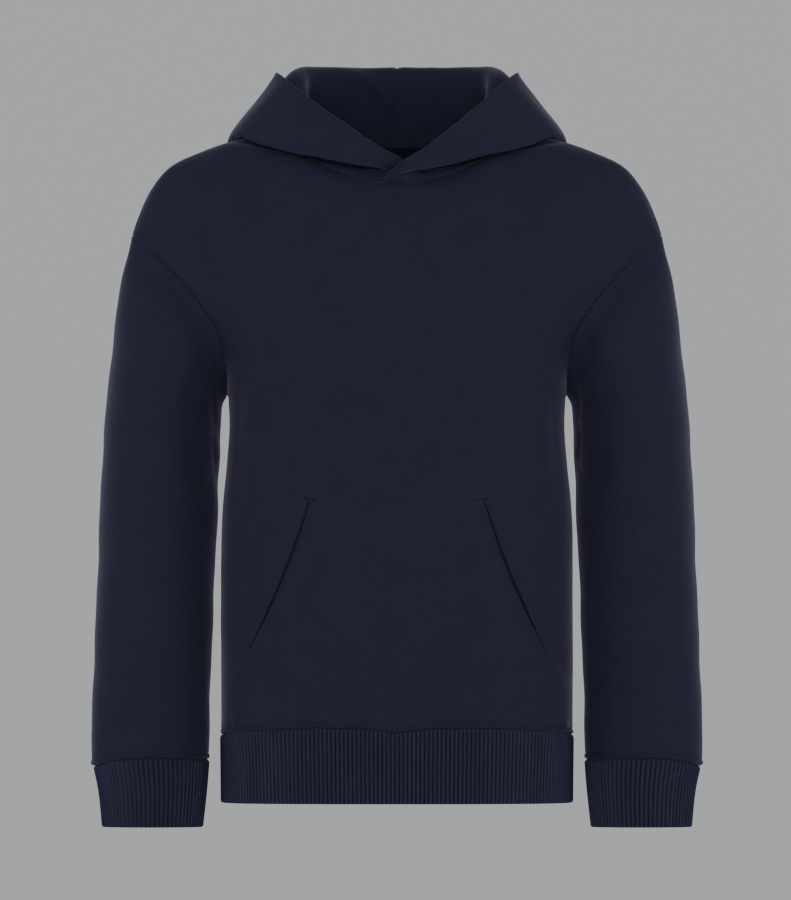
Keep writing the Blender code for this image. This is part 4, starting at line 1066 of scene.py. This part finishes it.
def hood_grid(stations, surface, under=False):
    """Half the hood: rows from the neck seam to the rim, columns from the front to the back."""
    *lines, radii = hood_lines(stations, surface, under)
    sharpness = fold_sharpness(stations)
    columns = []
    for index, (seam, crest, foot, rim, share, rests) in enumerate(zip(*lines)):
        crest_radius, foot_radius = radii[index]
        foot_radius *= 1 - FOOT_SHARPNESS * sharpness[index]
        straight = unit(rim - seam)
        up = straight * (1 - share) + np.array([0.0, 0.0, 1.0]) * share
        turn = unit(unit(foot - seam, LEVEL) * share + straight * (1 - share))
        stand_span, fall_span, rise_span = crest - seam, foot - crest, rim - foot
        stand = hermite(seam, up * STRAIGHT_PULL * np.linalg.norm(stand_span),
                        crest, roll_pull(turn, stand_span, crest_radius), STAND_STEPS)
        fall = hermite(crest, roll_pull(turn, fall_span, crest_radius),
                       foot, roll_pull(turn, fall_span, foot_radius), FALL_STEPS)
        rise = hermite(foot, roll_pull(turn, rise_span, foot_radius),
                       rim, rise_span * STRAIGHT_PULL, RISE_STEPS)
        if rests:
            fall[:-1] = surface.lift(fall[:-1], BODY_CLEARANCE)
        columns.append(np.vstack([stand, fall, rise]))
    return np.stack(columns, axis=1)


def hood_relief(base, stations, under, up, to_back):
    """Height of half the hood over its form: creases, and the groove under the flap's fold."""
    layer = np.linspace(0.0, 1.0, len(base))[:, None]
    x, z = base[..., 0] * (-1.0 if under else 1.0), base[..., 2]
    relief = ripple(x, z, HOOD_WAVES)
    for (first, end), creases in HOOD_CREASES.items():
        here = eased((layer - first + LAYER_FADE) / LAYER_FADE)
        here = here * eased((end - layer + LAYER_FADE) / LAYER_FADE)
        for crease in creases:
            relief += crease_height(x, z, [crease]) * here
    near_neck, near_rim, near_back = HOOD_FADES
    relief *= (eased(stations / QUIET_STATIONS)[None, :] * eased(up / near_neck)
               * eased((up[-1:] - up) / near_rim) * eased(to_back / near_back))
    depth, height, width = UNDER_FOOT
    groove = depth * bell(z - base[FOOT_ROW, :, 2] - height, width)
    groove *= eased(stations - GROOVE_START[0]) * eased(up / GROOVE_START[1])
    groove[len(STAND_STEPS):] = 0.0
    return relief - groove


def hood_walls(under, surface):
    """Outer and inner points of the hood's left half, or of its right half, which goes under."""
    before = np.linspace(HOOD_FRONT_END[under], 0.0, FRONT_STATIONS)[:-1]
    stations = np.concatenate([before, STATION_STEPS])
    base = hood_grid(stations, surface, under)
    normal = outward(base)
    inward = -normal
    inward[0] = unit(inward[0], LEVEL)
    inward[:, -1] = unit(inward[:, -1], MIDDLE_PLANE)
    grown = np.clip(stations / WALL_STATIONS, 0, 1)
    thick = HOOD_FLEECE_AT_END + (HOOD_FLEECE - HOOD_FLEECE_AT_END) * grown
    up, along = lengths(base, 0), lengths(base, 1)
    to_back = along[:, -1:] - along
    relief = hood_relief(base, stations, under, up, to_back)[..., None]
    pressed = bell(up - up[FOOT_ROW], PRESSED_REACH)
    pressed = 1 - FOOT_PRESSED * fold_sharpness(stations) * pressed
    outer = base + normal * relief
    inner = base + inward * (thick * pressed)[..., None] + normal * relief
    outer += normal * (RIM_BEAD[0] * bell(up[-1:] - up, RIM_BEAD[1]))[..., None]
    low, high = FOOT_ROW - SMOOTHED_ROWS, FOOT_ROW + SMOOTHED_ROWS
    for _ in range(SMOOTHING_PASSES):
        beside = inner[low - 1:high - 1] + inner[low + 1:high + 1]
        inner[low:high] = (inner[low:high] * 2 + beside) / 4
    dip = BACK_SEAM_DIP[0] * bell(to_back, BACK_SEAM_DIP[1])
    dip = (dip + NECK_SEAM_DIP[0] * bell(up, NECK_SEAM_DIP[1]))[..., None]
    outer -= normal * dip
    inner += normal * dip * INNER_DIP
    for grid in (outer, inner):
        grid[:, -1, 0] = SEAM_GAP / 2
        grid[0, :, 2] += NECK_GAP / 2
    outer, inner = rounded_end(outer, inner, last=True)
    walls = outer, inner, (lengths(outer, 1), lengths(outer, 0))
    return mirrored_walls(*walls) if under else walls


# ---- small pieces ----
TAPE_START = 7.0  # station at which the tape starts
TAPE_SWELL = 0.25  # how much thicker it is along its middle
TAPE_GRID = (15, 61)  # rows, and columns of each half


def stand_at(stations, surface, height):
    """Points of the hood's outer side at a height above the neck seam."""
    grid = hood_grid(stations, surface)
    lines = (grid[:len(STAND_STEPS), column] for column in range(len(stations)))
    return np.array([read_between(line, line[:, 2], line[0, 2] + height) for line in lines])


def neck_tape(surface):
    """A strip along the inside of the back neck, on both halves of the hood's stand."""
    stations = np.linspace(TAPE_START, BACK_STATION, TAPE_GRID[1])
    rows = []
    for height in np.linspace(TAPE_BOTTOM, TAPE_BOTTOM + TAPE_HEIGHT, TAPE_GRID[0]):
        half = stand_at(stations, surface, height)
        rows.append(np.vstack([half, half[-2::-1] * MIRROR]))
    base = np.array(rows)
    inward = -outward(base)
    outer = base + inward * (HOOD_FLEECE + LAYER_GAP)
    swell = TAPE_SWELL * np.sin(math.pi * np.linspace(0.0, 1.0, len(base)))[:, None, None] ** 0.5
    inner = outer + inward * (TAPE_CLOTH + swell)
    return outer, inner, (lengths(base, 1), lengths(base, 0))


def pocket_bag():
    """The bag behind both slits: the front's points moved in, from above the slits to the hem."""
    panel = whole_panel(-1)
    inward = -outward(panel)
    inward[0] = unit(inward[0], LEVEL)
    top = np.argmin(np.abs(panel[:, panel.shape[1] // 2, 2] - BAG_TOP))
    keep = np.where(np.abs(panel[0, :, 0]) <= BAG_HALF_WIDTH)[0][::2]
    rows = np.arange(0, top + 1, 2)
    grid, turn = panel[rows][:, keep], inward[rows][:, keep]
    pulled = drawn_in(grid[..., 0], grid[..., 2], -1)[..., None]
    outer = grid + turn * (FLEECE + LAYER_GAP + pulled)
    outer[0, :, 2] += SEAM_GAP / 2
    return outer, outer + turn * BAG_CLOTH, (lengths(outer, 1), lengths(outer, 0))


def stitch_row(path, normals, spans=(STITCH_LENGTH, STITCH_PITCH), closed=False):
    """Vertices and faces of a row of stitches that lie along a path."""
    if closed:
        path, normals = np.vstack([path, path[:1]]), np.vstack([normals, normals[:1]])
    along = lengths(path, 0)
    thick, height, dip = STITCH_LIFT
    vertices, faces = [], []
    for start in np.arange(0.0, along[-1] - spans[0], spans[1]):
        middle = start + spans[0] / 2
        at = read_between(path, along, middle)
        forward = unit(read_between(path, along, middle + LOOK_AHEAD) - at)
        up = unit(read_between(normals, along, middle))
        across = unit(np.cross(up, forward))
        first = len(vertices)
        for place, size in STITCH_RINGS:
            for step in range(STITCH_SIDES):
                angle = step * FULL_TURN / STITCH_SIDES
                lift = math.sin(angle) * thick + height - dip * (2 * place) ** 2
                vertices.append(at + forward * place * spans[0] + across * math.cos(angle) * size
                                * STITCH_WIDTH / 2 + up * lift * STITCH_WIDTH)
        last = first + STITCH_SIDES * (len(STITCH_RINGS) - 1)
        for ring in range(first, last, STITCH_SIDES):
            for step in range(STITCH_SIDES):
                a, b = ring + step, ring + (step + 1) % STITCH_SIDES
                faces.append((a, b, b + STITCH_SIDES, a + STITCH_SIDES))
        faces.append(tuple(range(first + STITCH_SIDES - 1, first - 1, -1)))
        faces.append(tuple(range(last, last + STITCH_SIDES)))
    return vertices, faces


def bar_tacks(outer):
    """Close stitches side by side across the top of each pocket slit."""
    normals = outward(outer)
    start, end, count, length = BAR_TACK
    half = np.array([0.0, 0.0, length / 2 + TACK_SPARE])
    rows = []
    for sign in RIGHT_AND_LEFT:
        for share in np.linspace(0.0, 1.0, count):
            x = sign * (start[0] + (end[0] - start[0]) * share)
            z = start[1] + (end[1] - start[1]) * share
            off = np.hypot(outer[..., 0] - x, outer[..., 2] - z)
            nearest = np.unravel_index(np.argmin(off), off.shape)
            middle = np.array([x, outer[nearest][1], z])
            path = np.array([middle + half, middle - half])
            rows.append(stitch_row(path, np.array([normals[nearest]] * 2), (length, ONE_ONLY)))
    return rows


def joined(name, parts):
    """One mesh object from several lists of vertices and faces."""
    vertices, faces = [], []
    for some_vertices, some_faces in parts:
        first = len(vertices)
        vertices += some_vertices
        faces += [tuple(first + corner for corner in face) for face in some_faces]
    return new_mesh(name, vertices, faces)


def row_at(grid, distance):
    """The grid's row that lies a distance from its first row."""
    along = lengths(grid, 0)[:, grid.shape[1] // 2]
    return int(np.argmin(np.abs(along - distance)))


# ---- materials ----
CLOTH_FINISH = {"Roughness": 0.94, "Specular IOR Level": 0.22, "Sheen Roughness": 0.3,
                "Sheen Tint": (0.42, 0.42, 0.62, 1.0)}
THREAD_FINISH = {"Roughness": 0.7, "Specular IOR Level": 0.2}
FLOOR_FINISH = {"Roughness": 0.9, "Specular IOR Level": 0.2}
LEG_SHARPNESS = 0.6  # of a knit stitch's two legs
LEG_LEAN = 1.3
BAR_DEPTH = 0.25  # of the height, lost between two stitches of a column
FIBRES = (2600.0, 3.0, 0.7)  # noise: scale in 1/m, detail, roughness
TUFTS = (620.0, 4.0, 0.65)
TUFT_HEIGHT = 0.5
BUMP_STRENGTH = 0.55
NOISE_RANGE = (0.3, 0.7)
MOTTLE = ((55.0, 5.0, 0.6), (0.93, 1.07))  # noise, darkest and lightest
GRAIN = ((1500.0, 2.0, 0.6), (0.74, 1.26))
PAINTED_STITCH_SHADE = (0.22, 0.84)  # how much a stitch is lighter than the painted shade in the low places between stitches


def new_material(name, finish):
    """A material with a principled shader, and that shader."""
    made = bpy.data.materials.new(name)
    made.use_nodes = True
    shader = made.node_tree.nodes["Principled BSDF"]
    for socket, value in finish.items():
        shader.inputs[socket].default_value = value
    return made, shader


def map_range(tree, low_high, new_low_high):
    """A node that stretches one range of values over another."""
    node = tree.nodes.new("ShaderNodeMapRange")
    for socket, value in zip(("From Min", "From Max", "To Min", "To Max"),
                             (*low_high, *new_low_high)):
        node.inputs[socket].default_value = value
    return node


def knit_material(name, colour, wale, course, relief, fuzz, sheen=0.42, painted_trough_shade=0.0):
    """Matte cotton knit: stitches in columns, fibre fuzz, a faint unevenness of the dye, and
    painted shade in the low places between the stitches and, where asked, in the troughs of ribs.
    """
    made, shader = new_material(name, {**CLOTH_FINISH, "Sheen Weight": sheen})
    made.diffuse_color = (*colour, 1.0)
    tree = made.node_tree
    nodes, links = tree.nodes, tree.links

    def maths(operation, a, b=None):
        node = nodes.new("ShaderNodeMath")
        node.operation = operation
        for socket, value in zip(node.inputs, (a, b)):
            if isinstance(value, (int, float)):
                socket.default_value = value
            elif value is not None:
                links.new(value, socket)
        return node.outputs[0]

    def times(a, b):
        return maths("MULTIPLY", a, b)

    def plus(a, b):
        return maths("ADD", a, b)

    place = nodes.new("ShaderNodeUVMap")
    place.uv_map = "cloth"
    split = nodes.new("ShaderNodeSeparateXYZ")
    links.new(place.outputs["UV"], split.inputs[0])
    column = maths("FRACT", maths("DIVIDE", split.outputs["X"], wale))
    from_middle = maths("ABSOLUTE", maths("SUBTRACT", column, 0.5))
    legs = maths("POWER", maths("SINE", times(from_middle, FULL_TURN)), LEG_SHARPNESS)
    lean = times(from_middle, LEG_LEAN)
    turn = times(plus(maths("DIVIDE", split.outputs["Y"], course), lean), FULL_TURN)
    bars = plus(times(maths("COSINE", turn), BAR_DEPTH), 1 - BAR_DEPTH)
    stitches = times(legs, bars)

    spot = nodes.new("ShaderNodeTexCoord")

    def noise(scale, detail, rough):
        node = nodes.new("ShaderNodeTexNoise")
        for socket, value in (("Scale", scale), ("Detail", detail), ("Roughness", rough)):
            node.inputs[socket].default_value = value
        links.new(spot.outputs["Object"], node.inputs["Vector"])
        return node.outputs["Fac"]

    def shades(kind):
        node = map_range(tree, NOISE_RANGE, kind[1])
        links.new(noise(*kind[0]), node.inputs["Value"])
        return node.outputs[0]

    fibres, tufts = noise(*FIBRES), noise(*TUFTS)
    height = plus(times(stitches, 1.0 - fuzz), times(fibres, fuzz))
    height = plus(height, times(tufts, TUFT_HEIGHT))
    bump = nodes.new("ShaderNodeBump")
    bump.inputs["Strength"].default_value = BUMP_STRENGTH
    bump.inputs["Distance"].default_value = relief * MM
    links.new(height, bump.inputs["Height"])
    links.new(bump.outputs["Normal"], shader.inputs["Normal"])

    shade = times(shades(MOTTLE), shades(GRAIN))
    # painted shade: the colour is darkened where the knit's stitch height is low, between the
    # stitches
    lighter, least = PAINTED_STITCH_SHADE
    shade = times(shade, plus(times(stitches, lighter), least))
    # painted shade in the troughs of the ribs: the colour is darker between the raised ribs, at the
    # band's own rib pitch
    if painted_trough_shade:
        rib = maths("COSINE", times(split.outputs["X"], FULL_TURN / wale))
        shade = times(shade, plus(times(rib, painted_trough_shade / 2), 1 - painted_trough_shade / 2))
    tint = nodes.new("ShaderNodeVectorMath")
    tint.operation = "SCALE"
    tint.inputs[0].default_value = colour
    links.new(shade, tint.inputs["Scale"])
    links.new(tint.outputs[0], shader.inputs["Base Color"])
    return made


def plain_material(name, colour, finish):
    return new_material(name, {**finish, "Base Color": (*colour, 1.0)})[0]


# ---- garment ----
def cloth_area(grid):
    """Area of a grid in square metres."""
    one = grid[1:, 1:] - grid[:-1, :-1]
    other = grid[1:, :-1] - grid[:-1, 1:]
    return float(np.linalg.norm(np.cross(one, other), axis=-1).sum() / 2) * MM * MM


LEAST_LENGTH = 0.01  # the least flat length that a sheet can have
LEAST_AREA = 0.3  # the least area that it can have, of width times length


def finish_piece(piece, material, slot, node=None):
    piece.data.materials.append(material)
    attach(piece, BODY)
    if node:
        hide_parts(node)


def cut_piece(node, walls, finish, wrap=False, kept=None, band=False):
    """Builds one cut piece from its outer and inner grids and its chart, in a material; the slot
    named with it is not used.
    """
    outer, inner, chart = walls
    piece = wall(node + "_cloth", outer, inner, chart, wrap, kept)
    finish_piece(piece, *finish, node)
    declare(inner if band else outer, wrap, band)


def declare(grid, wrap=False, even=False):
    """Works out the cut of a cloth piece: its widest row, its longest column and its area, but
    keeps none of them.

    An even band is as wide as its middle row, since its end row rounds over into the ribs.
    """
    rows = np.concatenate([grid, grid[:, :1]], axis=1) if wrap else grid
    round_it = lengths(rows, 1)[:, -1]
    width = float(round_it[len(rows) // 2] if even else round_it.max()) * MM
    length = max(float(lengths(grid, 0)[-1].max()) * MM, LEAST_LENGTH)
    area = min(cloth_area(rows), width * length)
    area = max(area, LEAST_AREA * width * length)


def make_garment():
    fleece = knit_material("navy_fleece_knit", NAVY, wale=1.05, course=0.82, relief=0.20, fuzz=0.55)
    # the rib knit's colour carries painted shade in the troughs between its ribs
    rib = knit_material("navy_rib_knit", NAVY_RIB, wale=1.0, course=1.0, relief=0.16, fuzz=0.45,
                        painted_trough_shade=0.45)
    tape = knit_material("navy_tape_twill", NAVY_TAPE, wale=0.8, course=0.6, relief=0.10, fuzz=0.2,
                         sheen=0.05)
    thread = plain_material("navy_thread", NAVY_THREAD, THREAD_FINISH)
    fleece, rib, tape = (fleece, "navy_fleece"), (rib, "navy_rib"), (tape, "navy_tape")

    hem_rows, cuff_rows, tacks = [], [], []
    for name, side in (("front", -1), ("back", 1)):
        outer, inner, chart = panel_walls(side)
        front = side < 0
        cut_piece(name, (outer, inner, chart), fleece, kept=slit_cells(outer) if front else None)
        row = row_at(outer, STITCH_LINE["hem"])
        hem_rows.append(stitch_row(outer[row], outward(outer)[row]))
        if front:
            tacks = bar_tacks(outer)

    for name, side, uneven in (("left", 1, 0.0), ("right", -1, 1.0)):
        sleeve = sleeve_walls(uneven)
        row = row_at(sleeve[0], STITCH_LINE["cuff"])
        normals = outward(sleeve[0], wrap=True)
        cuff = ribbed(cuff_ring, cuff_top, CUFF[-1, 0], SLEEVE_RIBS, 0.0)
        if side < 0:
            sleeve, cuff = mirrored_walls(*sleeve), mirrored_walls(*cuff)
            normals = mirrored(normals)
        cut_piece("sleeve_" + name, sleeve, fleece, wrap=True)
        cuff_rows.append(stitch_row(sleeve[0][row], normals[row], closed=True))
        cut_piece("cuff_" + name, cuff, rib, wrap=True, band=True)

    hem = ribbed(body_ring, hem_top, HEM_BOTTOM, BODY_RIBS, HEM_FAN)
    cut_piece("hem_rib", hem, rib, wrap=True, band=True)

    surface = BodySurface([whole_panel(side) for side in FRONT_AND_BACK])
    for name, under in (("left", False), ("right", True)):
        cut_piece("hood_" + name, hood_walls(under, surface), fleece)
    cut_piece("pocket_bag", pocket_bag(), fleece)
    band = neck_tape(surface)
    cut_piece("neck_tape", band, tape)

    tape_rows = [stitch_row(band[1][row], -outward(band[1])[row]) for row in TAPE_STITCH_ROWS]
    for name, rows in (("hem_stitches", hem_rows), ("cuff_stitches", cuff_rows),
                       ("bar_tacks", tacks), ("tape_stitches", tape_rows)):
        finish_piece(joined(name, rows), thread, "navy_fleece")


# ---- studio ----
CAMERA_DISTANCE = 12.0
FRAME_HEIGHT = 0.558
AIM = Vector((-0.0009, 0.0, -0.1996))
SENSOR = 36.0
# from this height to that, from this strength to that
ROOM_LIGHT = ((-0.45, 0.02), (0.16, 0.46))
ROOM_COLOUR = (0.97, 0.98, 1.0, 1.0)
FLOOR = -0.56
FLOOR_HALF = 2.2
FLOOR_COLOUR = (0.82, 0.82, 0.83)
LIGHT_DISTANCE = 2.0
# name, power, width and height, degrees round from the front, degrees up
LIGHTS = (
    ("softbox_left", 8.5, (1.1, 1.3), 75.0, 0.0),
    ("softbox_right", 8.5, (1.1, 1.3), -75.0, 0.0),
    ("key_above", 15.5, (1.2, 1.0), 0.0, 12.0),
    ("fill_behind", 7.0, (1.3, 1.1), 180.0, 20.0),
)


def area_light(name, power, size, turn, rise):
    """A soft light that looks at the garment from a direction in degrees."""
    turn, rise = math.radians(turn), math.radians(rise)
    data = bpy.data.lights.new(name, "AREA")
    data.shape = "RECTANGLE"
    data.energy = power
    data.size, data.size_y = size
    light = new_object(name, data)
    light.location = AIM + LIGHT_DISTANCE * Vector((
        math.sin(turn) * math.cos(rise), -math.cos(turn) * math.cos(rise), math.sin(rise)))
    light.rotation_euler = (AIM - light.location).to_track_quat("-Z", "Y").to_euler()
    light.visible_camera = False


def make_camera():
    data = bpy.data.cameras.new("camera")
    data.sensor_width = SENSOR
    data.lens = SENSOR * CAMERA_DISTANCE / FRAME_HEIGHT
    data.dof.use_dof = False
    camera = new_object("camera", data)
    camera.location = AIM + Vector((0.0, -CAMERA_DISTANCE, 0.0))
    camera.rotation_euler = (math.pi / 2, 0.0, 0.0)
    bpy.context.scene.camera = camera


def make_room():
    """A pale room, brighter above, and its floor."""
    world = bpy.data.worlds.new("studio")
    world.use_nodes = True
    tree = world.node_tree
    where = tree.nodes.new("ShaderNodeTexCoord")
    split = tree.nodes.new("ShaderNodeSeparateXYZ")
    tree.links.new(where.outputs["Generated"], split.inputs[0])
    strength = map_range(tree, *ROOM_LIGHT)
    strength.interpolation_type = "SMOOTHSTEP"
    background = tree.nodes["Background"]
    tree.links.new(split.outputs["Z"], strength.inputs["Value"])
    tree.links.new(strength.outputs[0], background.inputs["Strength"])
    background.inputs["Color"].default_value = ROOM_COLOUR
    bpy.context.scene.world = world

    mesh = bpy.data.meshes.new("floor")
    corners = [(x * FLOOR_HALF, y * FLOOR_HALF, FLOOR)
               for x, y in ((-1, -1), (1, -1), (1, 1), (-1, 1))]
    mesh.from_pydata(corners, [], [(0, 1, 2, 3)])
    mesh.materials.append(plain_material("pale_floor", FLOOR_COLOUR, FLOOR_FINISH))
    floor = new_object("floor", mesh)


make_camera()
for light in LIGHTS:
    area_light(*light)
make_room()
make_garment()
